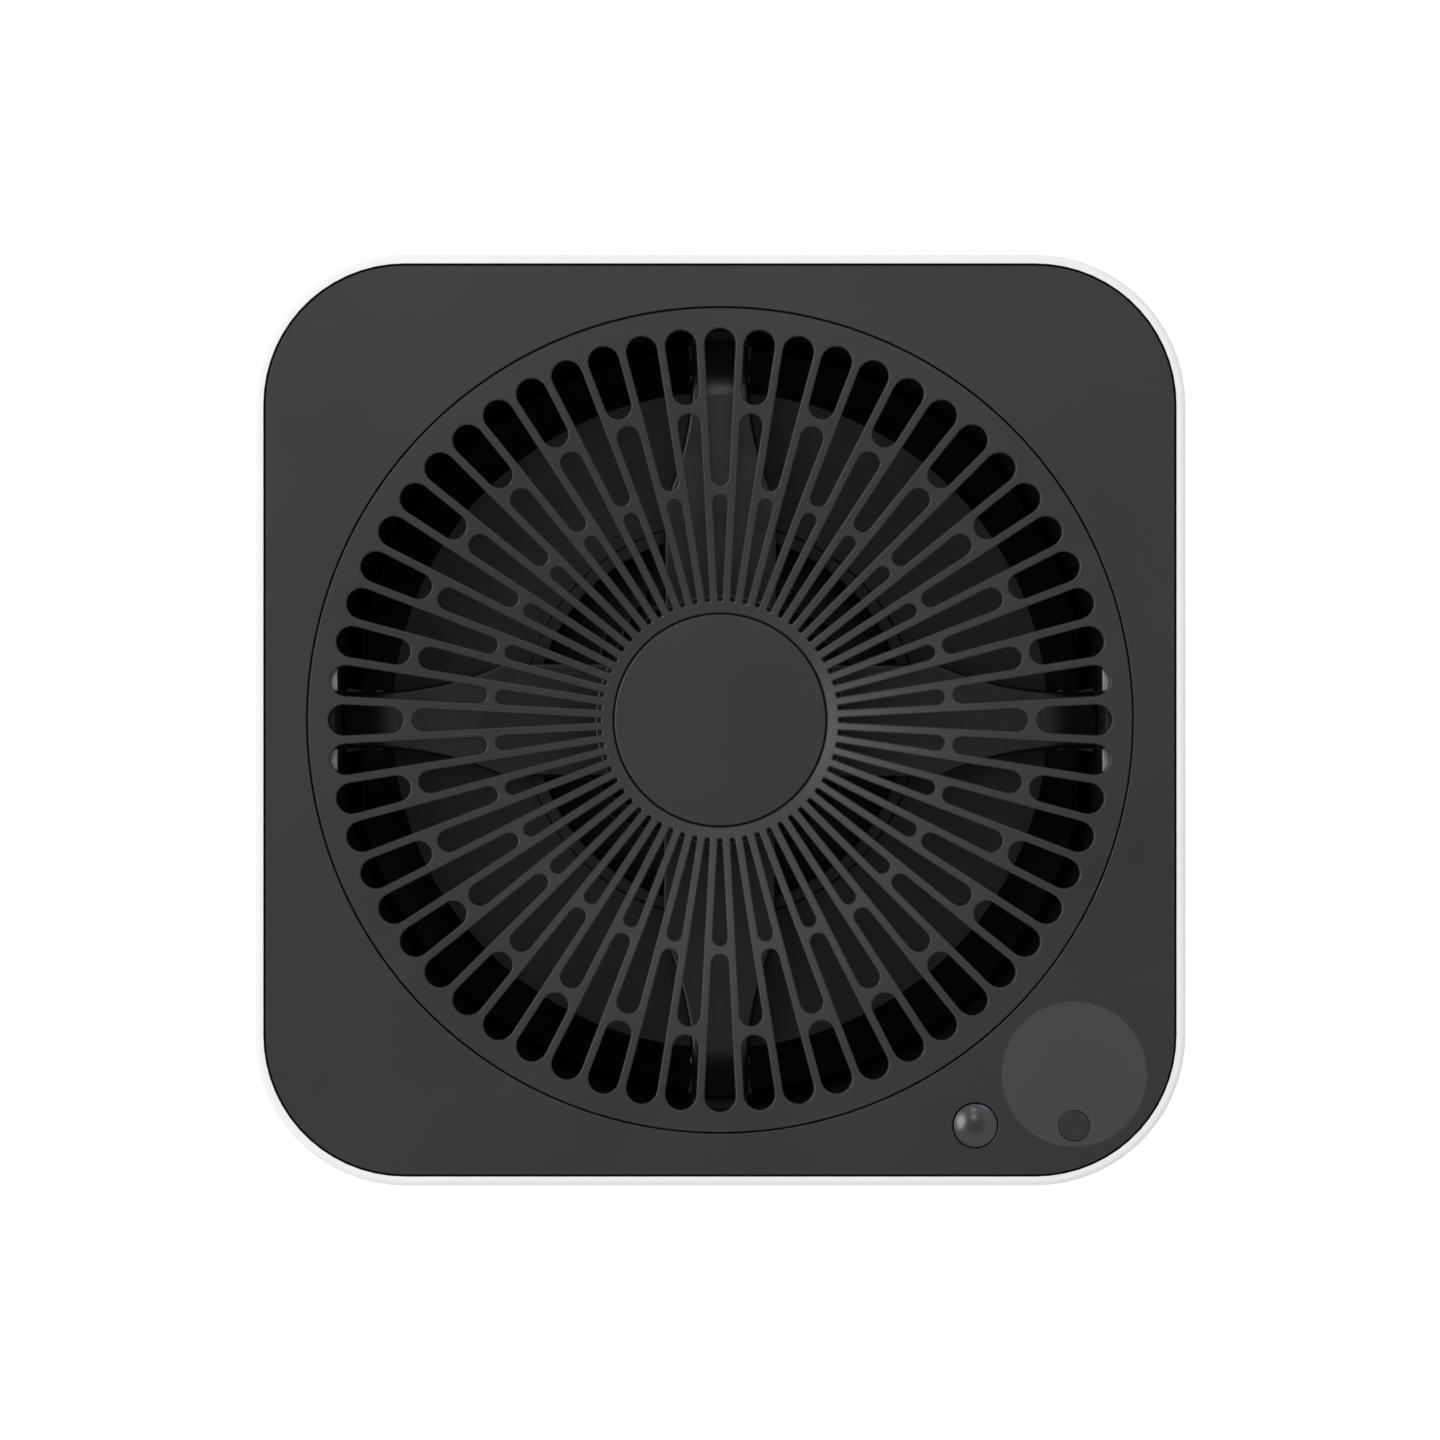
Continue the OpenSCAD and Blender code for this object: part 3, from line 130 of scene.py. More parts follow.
def choose(piece, mode="OBJECT"):
    """Makes one piece the only selected and active one, in the mode that is asked for."""
    if bpy.context.object and bpy.context.object.mode != "OBJECT":
        bpy.ops.object.mode_set(mode="OBJECT")
    bpy.ops.object.select_all(action="DESELECT")
    piece.select_set(True)
    bpy.context.view_layer.objects.active = piece
    if mode == "EDIT":
        bpy.ops.object.mode_set(mode="EDIT")
        bpy.ops.mesh.select_all(action="SELECT")


def soften(piece, width, segments=2):
    """Rounds every sharp edge by a width in mm; flat faces rank highest, so they keep flat shading."""
    choose(piece)
    bpy.ops.object.shade_smooth_by_angle(angle=sharp_edge)
    bevel = piece.modifiers.new("edge_radius", "BEVEL")
    bevel.width = width * MM
    bevel.segments = segments
    bevel.limit_method = "ANGLE"
    bevel.angle_limit = sharp_edge
    bevel.use_clamp_overlap = False
    bevel.face_strength_mode = "FSTR_ALL"
    bpy.ops.object.modifier_apply(modifier=bevel.name)
    choose(piece, "EDIT")
    bpy.ops.mesh.select_mode(type="FACE")
    bpy.ops.mesh.mod_weighted_strength(set=False, face_strength="MEDIUM")
    bpy.ops.mesh.mod_weighted_strength(set=True, face_strength="WEAK")
    bpy.ops.mesh.mod_weighted_strength(set=False, face_strength="STRONG")
    bpy.ops.object.mode_set(mode="OBJECT")
    for face in piece.data.polygons:
        if max(abs(side) for side in face.normal) > square_on:
            face.select = False
    bpy.ops.object.mode_set(mode="EDIT")
    bpy.ops.mesh.mod_weighted_strength(set=True, face_strength="MEDIUM")
    bpy.ops.mesh.select_mode(type="VERT")
    bpy.ops.object.mode_set(mode="OBJECT")
    normals = piece.modifiers.new("flat_faces", "WEIGHTED_NORMAL")
    normals.keep_sharp = True
    normals.use_face_influence = True
    bpy.ops.object.modifier_apply(modifier=normals.name)
    return piece


def copy_of(node, name):
    """A copy of a CAD part: its loose triangles merged, and its flat faces cut into better triangles."""
    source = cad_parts[node]
    piece = bpy.data.objects.new(name, source.data.copy())
    bpy.context.scene.collection.objects.link(piece)
    piece.data.materials.clear()
    choose(piece, "EDIT")
    bpy.ops.mesh.remove_doubles(threshold=merge_gap)
    bpy.ops.mesh.dissolve_limited(angle_limit=flat_turn)
    bpy.ops.mesh.quads_convert_to_tris(quad_method="BEAUTY", ngon_method="BEAUTY")
    bpy.ops.object.mode_set(mode="OBJECT")
    return piece


def settle(piece, material, node=None, body="housing"):
    """Gives a finished piece its material and lets it ride in the place of the part it stands for."""
    choose(piece)
    piece.data.name = piece.name
    piece.data.materials.clear()
    piece.data.materials.append(material)
    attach(piece, body)
    if node:
        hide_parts(node)


def dress(node, name, material, width, body="housing"):
    """A rigid part with its edges rounded, by a width in mm, as the mould or the die leaves them."""
    settle(soften(copy_of(node, name), width), material, node, body=body)


rubber = moulded("compression_moulded_rubber", "#232323", "#2e2e2e", (0.75, 0.92), 0.5, 0.05)
dress("feet", "rubber_feet", rubber, 0.5)


# ---- Base tray ----
# A shallow box of injection-moulded ABS, satin and a shade greyer than the sleeve, with a plinth that
# stands in from the walls. It carries the mains board and the filter's shelf; the shell stands on it.
tray_abs = moulded("moulded_abs_base", "#d3d4d2", "#dadbd9", (0.5, 0.6), 0.45, 0.03)
dress("base_tray", "tray_with_plinth", tray_abs, 0.5)
dress("filter_shelf", "shelf_under_filter", tray_abs, 0.3)


# ---- Screws ----
# Zinc-plated steel pan-head screws with a cross recess, cold headed and thread rolled.
# One is turned and punched here, and every later place in the unit gets a copy of it.
weld_gap = 0.001 * MM
head_r = 2.8
head_h = 2.0
head_edge = (0.2, 0.25)    # the bevel under the head, in and down
crown_r = 0.75
shank_r = 1.4
root_r = 1.15
thread_pitch = 1.1
plain_shank = 1.4          # left without a thread
point_r = 0.9
point_h = 0.8
recess_w = 0.6
recess_l = 3.0
recess_h = 2.2             # half of it sinks into the head


def draw(name, points, close=False):
    """Draws a chain of edges through points in mm, by extruding one vertex, and stays in edit mode."""
    if bpy.context.object and bpy.context.object.mode != "OBJECT":
        bpy.ops.object.mode_set(mode="OBJECT")
    bpy.ops.object.select_all(action="DESELECT")
    bpy.ops.mesh.primitive_plane_add(size=2 * MM)
    piece = bpy.context.object
    piece.name = name
    bpy.ops.object.mode_set(mode="EDIT")
    bpy.ops.mesh.merge(type="CENTER")
    points = [Vector(p) * MM for p in points]
    bpy.ops.transform.translate(value=points[0])
    for here, there in zip(points, points[1:]):
        bpy.ops.mesh.extrude_vertices_move(TRANSFORM_OT_translate={"value": there - here})
    bpy.ops.mesh.select_all(action="SELECT")
    if close:
        bpy.ops.mesh.edge_face_add()
    return piece


def spin_round(steps):
    """Spins the drawn profile about the Z axis, and closes its seam and poles."""
    bpy.ops.mesh.spin(steps=steps, angle=2 * math.pi, center=(0, 0, 0), axis=(0, 0, 1))
    bpy.ops.mesh.select_all(action="SELECT")
    bpy.ops.mesh.remove_doubles(threshold=weld_gap)
    bpy.ops.mesh.normals_make_consistent(inside=False)
    bpy.ops.object.mode_set(mode="OBJECT")


def turned(name, profile, steps=96):
    """A piece turned about the Z axis from a profile of radius and height in mm, axis to axis."""
    piece = draw(name, [(r, 0, z) for r, z in profile])
    spin_round(steps)
    bpy.ops.object.shade_smooth_by_angle(angle=sharp_edge)
    return piece


def arc(centre, radius, start, end, steps):
    """Points of an arc in degrees about a centre, both ends included."""
    turn = [math.radians(start + (end - start) * i / steps) for i in range(steps + 1)]
    return [(centre[0] + radius * math.cos(a), centre[1] + radius * math.sin(a)) for a in turn]


def cut(piece, tool):
    """Cuts one piece with another, which is used up."""
    choose(piece)
    step = piece.modifiers.new("cut", "BOOLEAN")
    step.operation = "DIFFERENCE"
    step.solver = "EXACT"
    step.object = tool
    bpy.ops.object.modifier_apply(modifier=step.name)
    bpy.ops.object.shade_smooth_by_angle(angle=sharp_edge)
    bpy.data.objects.remove(tool)


def join(pieces, name):
    """Joins pieces into one with one name."""
    choose(pieces[0])
    for piece in pieces[1:]:
        piece.select_set(True)
    bpy.ops.object.join()
    pieces[0].name = name
    return pieces[0]


def place_copy(piece, matrix, name):
    """A copy of a piece with a mesh of its own, turned and moved to its place."""
    mesh = piece.data.copy()
    mesh.transform(matrix)
    copy = bpy.data.objects.new(name, mesh)
    bpy.context.scene.collection.objects.link(copy)
    return copy


def solids_of(node):
    """The lowest and highest corners, in mm, of each separate solid of a CAD part."""
    whole = copy_of(node, "measured")
    choose(whole, "EDIT")
    bpy.ops.mesh.separate(type="LOOSE")
    bpy.ops.object.mode_set(mode="OBJECT")
    boxes = []
    for piece in list(bpy.context.selected_objects):
        spots = [v.co / MM for v in piece.data.vertices]
        boxes.append([Vector([pick(s[i] for s in spots) for i in range(3)]) for pick in (min, max)])
        bpy.data.objects.remove(piece)
    return boxes


def pan_head_screw(length):
    """A screw that stands on its head, with a rolled thread, a blunt point and a cross recess."""
    profile = [(0, length), (point_r, length), (shank_r, length - point_h)]
    for turn in range(int((length - head_h - plain_shank) / thread_pitch)):
        z = length - (turn + 1) * thread_pitch
        profile += [(shank_r, z), (root_r, z - thread_pitch / 2)]
    profile += [(shank_r, head_h), (head_r - head_edge[0], head_h), (head_r, head_h - head_edge[1])]
    profile += [(head_r - crown_r + x, crown_r - y) for x, y in arc((0, 0), crown_r, 10, 90, 4)]
    screw = turned("screw", profile + [(0, 0)], 32)
    for size in ((recess_l, recess_w, recess_h, 1), (recess_w, recess_l, recess_h, 1)):
        bpy.ops.object.select_all(action="DESELECT")
        bpy.ops.mesh.primitive_cube_add(size=MM)
        bar = bpy.context.object
        bar.data.transform(Matrix.Diagonal(size))
        cut(screw, bar)
    return screw


def screws(node, head_down=True):
    """A screw in each place of a CAD part, with its head at the lower or the upper end."""
    places = solids_of(node)
    screw = pan_head_screw(places[0][1].z - places[0][0].z)
    way = Matrix.Identity(4) if head_down else Matrix.Rotation(math.pi, 4, "X")
    made = []
    for low, high in places:
        head = Vector(((low.x + high.x) / 2, (low.y + high.y) / 2, low.z if head_down else high.z))
        made.append(place_copy(screw, Matrix.Translation(head * MM) @ way, "screw"))
    bpy.data.objects.remove(screw)
    settle(join(made, node), zinc_plate, node)


# Zinc plating: bright grey metal with a faint spangle, drawn at 1.5 mm.
zinc_plate, tree, shader = new_material("zinc_plated_steel", Metallic=1.0)
place = add_node(tree, "ShaderNodeTexCoord")
spangle = add_node(tree, "ShaderNodeTexNoise", [("Vector", place, "Object")], [("Scale", 1 / (1.5 * MM))])
tree.links.new(two_tone(tree, spangle, "Fac", "#9da2a8", "#bcbfc3").outputs["Color"],
               shader.inputs["Base Color"])
shine = add_node(tree, "ShaderNodeMapRange", [("Value", spangle, "Fac")],
                 [("To Min", 0.2), ("To Max", 0.34)])
tree.links.new(shine.outputs["Result"], shader.inputs["Roughness"])
for screw_set in ("base_screws", "deck_screws", "bracket_screws"):
    screws(screw_set)
for screw_set in ("fan_deck_screws", "motor_screws"):
    screws(screw_set, head_down=False)


# ---- Mains inlet and supply board ----
# A two-pin inlet moulded in black glass-filled nylon, satin, pressed into the back of the tray.
# Behind it the supply board stands in the tray: glass-fibre board with a green solder mask.
nylon = moulded("glass_filled_nylon", "#17171a", "#1f1f21", (0.38, 0.5), 0.3, 0.03)
dress("power_inlet", "mains_inlet", nylon, 0.25)

# Solder mask over glass cloth: glossy green, with the cloth's weave and lighter lines of copper.
board_green, tree, shader = new_material("solder_masked_fr4", Roughness=0.32, Coat_Weight=0.3)
place = add_node(tree, "ShaderNodeTexCoord")
weave = add_node(tree, "ShaderNodeTexChecker", [("Vector", place, "Object")],
                 [("Scale", 1 / (0.8 * MM)), ("Color1", linear("#1f5a37")), ("Color2", linear("#246441"))])
tracks = add_node(tree, "ShaderNodeTexBrick",
                  [("Vector", place, "Object"), ("Color1", weave, "Color"), ("Color2", weave, "Color")],
                  [("Scale", 1 / (9 * MM)), ("Mortar Size", 0.03), ("Mortar", linear("#3c8a5d"))])
tree.links.new(tracks.outputs["Color"], shader.inputs["Base Color"])
dress("power_board", "supply_board", board_green, 0.2)


# ---- Housing ----
# One injection-moulded ABS sleeve, matt white, with its thin rim turned in round the black deck.
# The three intake panels snap into its sides and sit flush, each with columns of vertical slots.
white_abs = moulded("moulded_white_abs", "#ebebe8", "#efefec", (0.5, 0.58), 0.4, 0.02)
dress("housing_shell", "housing_sleeve", white_abs, 0.15)
for side in ("front", "left", "right"):
    dress("intake_panel_" + side, "intake_grille_" + side, white_abs, 0.12)
dress("sensor_vent", "dust_sensor_vent", white_abs, 0.25)


# ---- Filter door ----
# The back of the housing is a slotted door with a finger recess; it tilts out on its round lower edge.
# Two nickel-plated plates on it meet two magnets behind the header.
dress("filter_door", "filter_door_panel", white_abs, 0.12, body="door")

# Nickel plate: warm grey and bright, with slow clouds in its gloss.
nickel, tree, shader = new_material("nickel_plate", Metallic=1.0)
place = add_node(tree, "ShaderNodeTexCoord")
cloud = add_node(tree, "ShaderNodeTexNoise", [("Vector", place, "Object")], [("Scale", 1 / (3 * MM))])
tree.links.new(two_tone(tree, cloud, "Fac", "#a9a7a2", "#bdbbb5").outputs["Color"],
               shader.inputs["Base Color"])
shine = add_node(tree, "ShaderNodeMapRange", [("Value", cloud, "Fac")], [("To Min", 0.18), ("To Max", 0.3)])
tree.links.new(shine.outputs["Result"], shader.inputs["Roughness"])
dress("door_catch_plates", "door_catch_plates", nickel, 0.15, body="door")
dress("door_magnets", "door_magnets", nickel, 0.3)


# ---- Filter ----
# Pleated glass-fibre paper glued between two moulded caps, with a foam ring that seals on the fan deck.
# A woven polyester strap on the back pulls the cartridge out.
wave_step = 2 * math.pi / 20    # a wave texture at scale 1 repeats after this length
seal_w = 10
seal_edge = 1.5

# Glass-fibre paper: dead matt and off-white, with felted fibres.
paper, tree, shader = new_material("pleated_filter_paper", Roughness=0.95)
place = add_node(tree, "ShaderNodeTexCoord")
fibres = add_node(tree, "ShaderNodeTexNoise", [("Vector", place, "Object")],
                  [("Scale", 1 / (1.2 * MM)), ("Detail", 6)])
tree.links.new(two_tone(tree, fibres, "Fac", "#d9dad6", "#eceded").outputs["Color"],
               shader.inputs["Base Color"])
fuzz = add_node(tree, "ShaderNodeBump", [("Height", fibres, "Fac")],
                [("Strength", 0.6), ("Distance", 0.2 * MM)])
tree.links.new(fuzz.outputs["Normal"], shader.inputs["Normal"])
dress("filter_media", "pleated_filter", paper, 0.2)

# Moulded polypropylene: slate blue and satin.
cap_plastic = moulded("moulded_polypropylene_caps", "#39434d", "#414c57", (0.4, 0.5), 0.5, 0.03)
dress("filter_bottom_cap", "filter_lower_cap", cap_plastic, 0.4)
dress("filter_top_cap", "filter_upper_cap", cap_plastic, 0.4)

# Open-cell foam: matt and nearly black, pitted with small cells.
foam, tree, shader = new_material("open_cell_foam", Roughness=0.95)
place = add_node(tree, "ShaderNodeTexCoord")
cells = add_node(tree, "ShaderNodeTexVoronoi", [("Vector", place, "Object")], [("Scale", 1 / (0.7 * MM))])
tree.links.new(two_tone(tree, cells, "Distance", "#1b1c1e", "#303236", 0.1, 0.6).outputs["Color"],
               shader.inputs["Base Color"])
pores = add_node(tree, "ShaderNodeBump", [("Height", cells, "Distance")],
                 [("Strength", 0.8), ("Distance", 0.3 * MM)])
tree.links.new(pores.outputs["Normal"], shader.inputs["Normal"])
seal_low, seal_high = [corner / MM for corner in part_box("filter_seal")]
outer_x = seal_high.x - seal_edge
inner_x = seal_high.x - seal_w + seal_edge
under_z = seal_low.z + seal_edge
upper_z = seal_high.z - seal_edge
corners = [(outer_x, under_z), (outer_x, upper_z), (inner_x, upper_z), (inner_x, under_z)]
ring = draw("foam_seal_ring", [(x, 0, z) for k, corner in enumerate(corners)
                               for x, z in arc(corner, seal_edge, 90 * k - 90, 90 * k, 5)])
bpy.ops.mesh.edge_face_add()
bpy.ops.mesh.delete(type="ONLY_FACE")
bpy.ops.mesh.select_all(action="SELECT")
spin_round(96)
bpy.ops.object.shade_smooth()
settle(ring, foam, "filter_seal")

# Woven polyester: a dull orange band with ribs across it, and the sheen of its threads.
strap, tree, shader = new_material("woven_polyester_strap", Roughness=0.8, Sheen_Weight=0.3)
place = add_node(tree, "ShaderNodeTexCoord")
ribs = add_node(tree, "ShaderNodeTexWave", [("Vector", place, "Object")],
                [("Scale", wave_step / (1.2 * MM)), ("Distortion", 0.4)], bands_direction="Z")
tree.links.new(two_tone(tree, ribs, "Fac", "#9c3f14", "#cc5a22").outputs["Color"],
               shader.inputs["Base Color"])
yarn = add_node(tree, "ShaderNodeBump", [("Height", ribs, "Fac")],
                [("Strength", 0.6), ("Distance", 0.25 * MM)])
tree.links.new(yarn.outputs["Normal"], shader.inputs["Normal"])
dress("filter_pull_tab", "filter_pull_strap", strap, 0.35)


# ---- Fan deck and duct ----
# A moulded plate with a bell mouth closes off the filter; the round duct above it holds the fan.
# Both are matt black polypropylene; the duct is flat on two sides where it meets the housing's walls,
# and the dust sensor's case stands beside it.
# Their black is drawn nearly lightless, far darker than the deck's black: partly the plastic's own colour,
# partly painted shade for the deep inside of the duct.
duct_pp_painted_shade = moulded("black_polypropylene_painted_shade", "#030303", "#060606", (0.55, 0.65), 0.5, 0.03)
dress("fan_deck", "fan_deck_plate", duct_pp_painted_shade, 0.4)
dress("fan_duct", "fan_duct", duct_pp_painted_shade, 0.4)
dress("dust_sensor", "dust_sensor_case", duct_pp_painted_shade, 0.4)


# ---- Fan ----
# A backward-curved centrifugal impeller in matt black glass-filled polypropylene, with a lipped hub
# and curved cooling ribs round the motor's can, and a shroud that is welded to its blades.
impeller_pp = moulded("glass_filled_polypropylene", "#0c0d0d", "#111212", (0.5, 0.6), 0.8, 0.05,
                      Specular_IOR_Level=0.4)
dress("impeller", "impeller_with_blades", impeller_pp, 0.35, body="fan_rotor")
dress("impeller_shroud", "impeller_shroud", impeller_pp, 0.4, body="fan_rotor")


# ---- Motor ----
# An outrunner: the can and its magnets turn with the impeller round a wound stator.
# Drawn steel can, stacked and lacquered laminations, enamelled copper coils.

# Drawn steel: grey metal, streaked along the way that it was drawn.
drawn_steel, tree, shader = new_material("drawn_zinc_plated_steel", Metallic=1.0, Anisotropic=0.3)
place = add_node(tree, "ShaderNodeTexCoord")
wipe = add_node(tree, "ShaderNodeMapping", [("Vector", place, "Object")], [("Scale", (1, 1, 12))])
streaks = add_node(tree, "ShaderNodeTexNoise", [("Vector", wipe, "Vector")],
                   [("Scale", 1 / (6 * MM)), ("Detail", 5)])
tree.links.new(two_tone(tree, streaks, "Fac", "#8f9193", "#b4b6b8").outputs["Color"],
               shader.inputs["Base Color"])
shine = add_node(tree, "ShaderNodeMapRange", [("Value", streaks, "Fac")],
                 [("To Min", 0.25), ("To Max", 0.42)])
tree.links.new(shine.outputs["Result"], shader.inputs["Roughness"])
dress("rotor_can", "rotor_can", drawn_steel, 0.5, body="fan_rotor")
dress("motor_shaft", "motor_shaft", drawn_steel, 0.3, body="fan_rotor")
dress("motor_bearings", "motor_bearings", drawn_steel, 0.3)

# Sintered ferrite: dull and nearly black, like a fine stone.
ferrite = moulded("sintered_ferrite", "#26262a", "#303034", (0.55, 0.7), 0.3, 0.04)
dress("rotor_magnets", "rotor_magnet_ring", ferrite, 0.3, body="fan_rotor")

# Laminations: satin grey sheets under lacquer, drawn 1 mm thick so that the stack shows.
stack, tree, shader = new_material("lacquered_lamination_stack", Metallic=0.6, Roughness=0.45)
place = add_node(tree, "ShaderNodeTexCoord")
sheets = add_node(tree, "ShaderNodeTexWave", [("Vector", place, "Object")],
                  [("Scale", wave_step / (1.0 * MM))], bands_direction="Z")
tree.links.new(two_tone(tree, sheets, "Fac", "#55585b", "#85888b").outputs["Color"],
               shader.inputs["Base Color"])
dress("motor_stator", "stator_laminations", stack, 0.2)

# Enamelled wire: red-brown and shiny, with its turns drawn 0.9 mm apart so that they show.
copper, tree, shader = new_material("enamelled_copper_wire", Metallic=1.0, Roughness=0.3)
place = add_node(tree, "ShaderNodeTexCoord")
turns = add_node(tree, "ShaderNodeTexWave", [("Vector", place, "Object")],
                 [("Scale", wave_step / (0.9 * MM))], bands_direction="Z")
tree.links.new(two_tone(tree, turns, "Fac", "#7a3a17", "#b8703a").outputs["Color"],
               shader.inputs["Base Color"])
wound = add_node(tree, "ShaderNodeBump", [("Height", turns, "Fac")],
                 [("Strength", 0.8), ("Distance", 0.2 * MM)])
tree.links.new(wound.outputs["Normal"], shader.inputs["Normal"])
dress("motor_windings", "stator_coils", copper, 0.6)


# ---- Bracket ----
# Four arms and a hub, pressure die cast in aluminium and coated black: dark, but satin under the lamps.
# The motor hangs from it, and its four feet are screwed to the duct's lugs from below.
bend_at = 96       # from the axis to the crease where an arm starts to slope down
bend_run = 3.6     # how far the bend reaches to each side of the crease
arm_drop = 2       # from the hub's top face down to the arms'
near = 0.1         # play in finding the crease

# Coated casting: black, with a fine blasted skin under the coat and slow clouds of gloss.
cast, tree, shader = new_material("black_coated_die_casting", Specular_IOR_Level=0.5, Coat_Weight=0.15,
                                  Coat_Roughness=0.2)
place = add_node(tree, "ShaderNodeTexCoord")
skin = add_node(tree, "ShaderNodeTexNoise", [("Vector", place, "Object")],
                [("Scale", 1 / (0.6 * MM)), ("Detail", 3)])
flow = add_node(tree, "ShaderNodeTexNoise", [("Vector", place, "Object")],
                [("Scale", 1 / (14 * MM)), ("Detail", 2)])
tree.links.new(two_tone(tree, flow, "Fac", "#0b0c0c", "#101112").outputs["Color"],
               shader.inputs["Base Color"])
shine = add_node(tree, "ShaderNodeMapRange", [("Value", flow, "Fac")], [("To Min", 0.32), ("To Max", 0.38)])
tree.links.new(shine.outputs["Result"], shader.inputs["Roughness"])
blast = add_node(tree, "ShaderNodeBump", [("Height", skin, "Fac")],
                 [("Strength", 0.5), ("Distance", 0.04 * MM)])
tree.links.new(blast.outputs["Normal"], shader.inputs["Normal"])
bracket = copy_of("motor_bracket", "motor_bracket_casting")
arm_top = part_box("motor_bracket")[1].z / MM - arm_drop
choose(bracket, "EDIT")
bpy.ops.mesh.dissolve_limited(angle_limit=flat_turn)
bpy.ops.mesh.select_mode(type="EDGE")
bpy.ops.mesh.select_all(action="DESELECT")
bpy.ops.object.mode_set(mode="OBJECT")
for crease in bracket.data.edges:
    ends = [bracket.data.vertices[k].co / MM for k in crease.vertices]
    crease.select = all(abs(v.z - arm_top) < near and abs(max(abs(v.x), abs(v.y)) - bend_at) < near
                        for v in ends)
bpy.ops.object.mode_set(mode="EDIT")
bpy.ops.mesh.bevel(offset=bend_run * MM, segments=10, clamp_overlap=False)
bpy.ops.mesh.select_mode(type="VERT")
bpy.ops.mesh.select_all(action="SELECT")
bpy.ops.mesh.quads_convert_to_tris(quad_method="BEAUTY", ngon_method="BEAUTY")
bpy.ops.object.mode_set(mode="OBJECT")
settle(soften(bracket, 1.1, 3), cast, "motor_bracket")


# ---- Deck ----
# The black top plate: ABS moulded in a finely eroded tool, satin, with a round seat for the grille.
# Its skirt slides down inside the housing's rim and is screwed to the gussets from below.
black_abs = moulded("spark_eroded_black_abs", "#212121", "#262626", (0.33, 0.4), 0.35, 0.04, IOR=1.5)
dress("top_deck", "top_deck_plate", black_abs, 0.3)


# ---- Seam shade strip ----
# A near-black, dull and lightless strip in the gap between the deck and the rim, a little below both.
# It is painted shade: it stands in for the shadow down in the seam, so the rim's lit inner face does not
# show.
deck_mm = deck_z / MM
deck_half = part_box("top_deck")[1].x / MM
deck_r = 38.8
seam = 0.6
shade_strip_depth = 0.5
shade_strip_h = 2.5
clear = 1    # of a cutter past the faces that it cuts


def block(name, outline, low, high):
    """A straight-sided block with a drawn outline, between two heights in mm."""
    piece = draw(name, [(x, y, low) for x, y in outline], close=True)
    bpy.ops.mesh.extrude_region_move(TRANSFORM_OT_translate={"value": (0, 0, (high - low) * MM)})
    bpy.ops.mesh.select_all(action="SELECT")
    bpy.ops.mesh.normals_make_consistent(inside=False)
    bpy.ops.object.mode_set(mode="OBJECT")
    return piece


def round_square(half, radius):
    """The outline of a square with round corners, in mm: half its width and its corner radius."""
    corner = Vector((half - radius, half - radius))
    return [spot for k in range(4)
            for spot in arc(Matrix.Rotation(math.radians(90 * k), 2) @ corner, radius,
                            90 * k, 90 * k + 90, 24)]


shade_strip_top = deck_mm - shade_strip_depth
shade_strip_foot = shade_strip_top - shade_strip_h
strip = block("seam_shade_strip", round_square(deck_half + seam, deck_r + seam), shade_strip_foot, shade_strip_top)
cut(strip, block("seam_shade_opening", round_square(deck_half, deck_r), shade_strip_foot - clear, deck_mm))
# Nearly black and lightless: painted shade for the seam's shadow, with a faint random speckle.
seam_shade, tree, shader = new_material("painted_seam_shade", Roughness=1.0, Specular_IOR_Level=0.1)
place = add_node(tree, "ShaderNodeTexCoord")
shade_speckle = add_node(tree, "ShaderNodeTexNoise", [("Vector", place, "Object")], [("Scale", 1 / (0.3 * MM))])
tree.links.new(two_tone(tree, shade_speckle, "Fac", "#040404", "#0a0a0a").outputs["Color"],
               shader.inputs["Base Color"])
settle(strip, seam_shade)


# ---- Outlet grille ----
# A round insert of the same black ABS, flat at its rim and dished to the hub, with sixty wedge slots.
# The ribs keep one width; staggered bridges tie them in two rings. Spring clips hold it to the duct.
grille_r = 115.1
grille_t = 3.0
dish_r = 110.0
dish_drop = 11.0
hub_r = 31.1
cap_r = 29.7
cap_t = 2.0
cap_gap = 0.25
rib_w = 2.4
bridge_w = 2.5
slot_in = 33.4
slot_out = 109.4
bridge_mid = {"odd": 87.2, "even": 64.3}
sector_n = 30
half = math.radians(3)    # of one slot's share of the turn; a sector holds two slots
end_turn = 93             # degrees from a slot's middle line to where its round end meets its side
end_steps = 9
tiny_turn = 1e-4


def dish_z(r):
    """Height of the dished face at a distance from the axis."""
    return deck_mm - dish_drop * ((dish_r - r) / (dish_r - hub_r)) ** 2


def slot_tool(r0, r1, turn, square_start):
    """A wedge slot's cutter between two distances from the axis, with its inner end square or round."""
    c1 = (r1 + rib_w / 2) / (1 + math.sin(half))
    outline = arc((c1, 0), c1 * math.sin(half) - rib_w / 2, -end_turn, end_turn, end_steps)
    if square_start:
        side = r0 * math.tan(half) - rib_w / 2 / math.cos(half)
        outline += [(r0, side), (r0, -side)]
    else:
        c0 = (r0 - rib_w / 2) / (1 - math.sin(half))
        outline += arc((c0, 0), c0 * math.sin(half) - rib_w / 2, end_turn, 360 - end_turn, end_steps)
    tool = block("slot_tool", outline, under_hub - clear, deck_mm + clear)
    tool.data.transform(Matrix.Rotation(turn, 4, "Z"))
    return tool


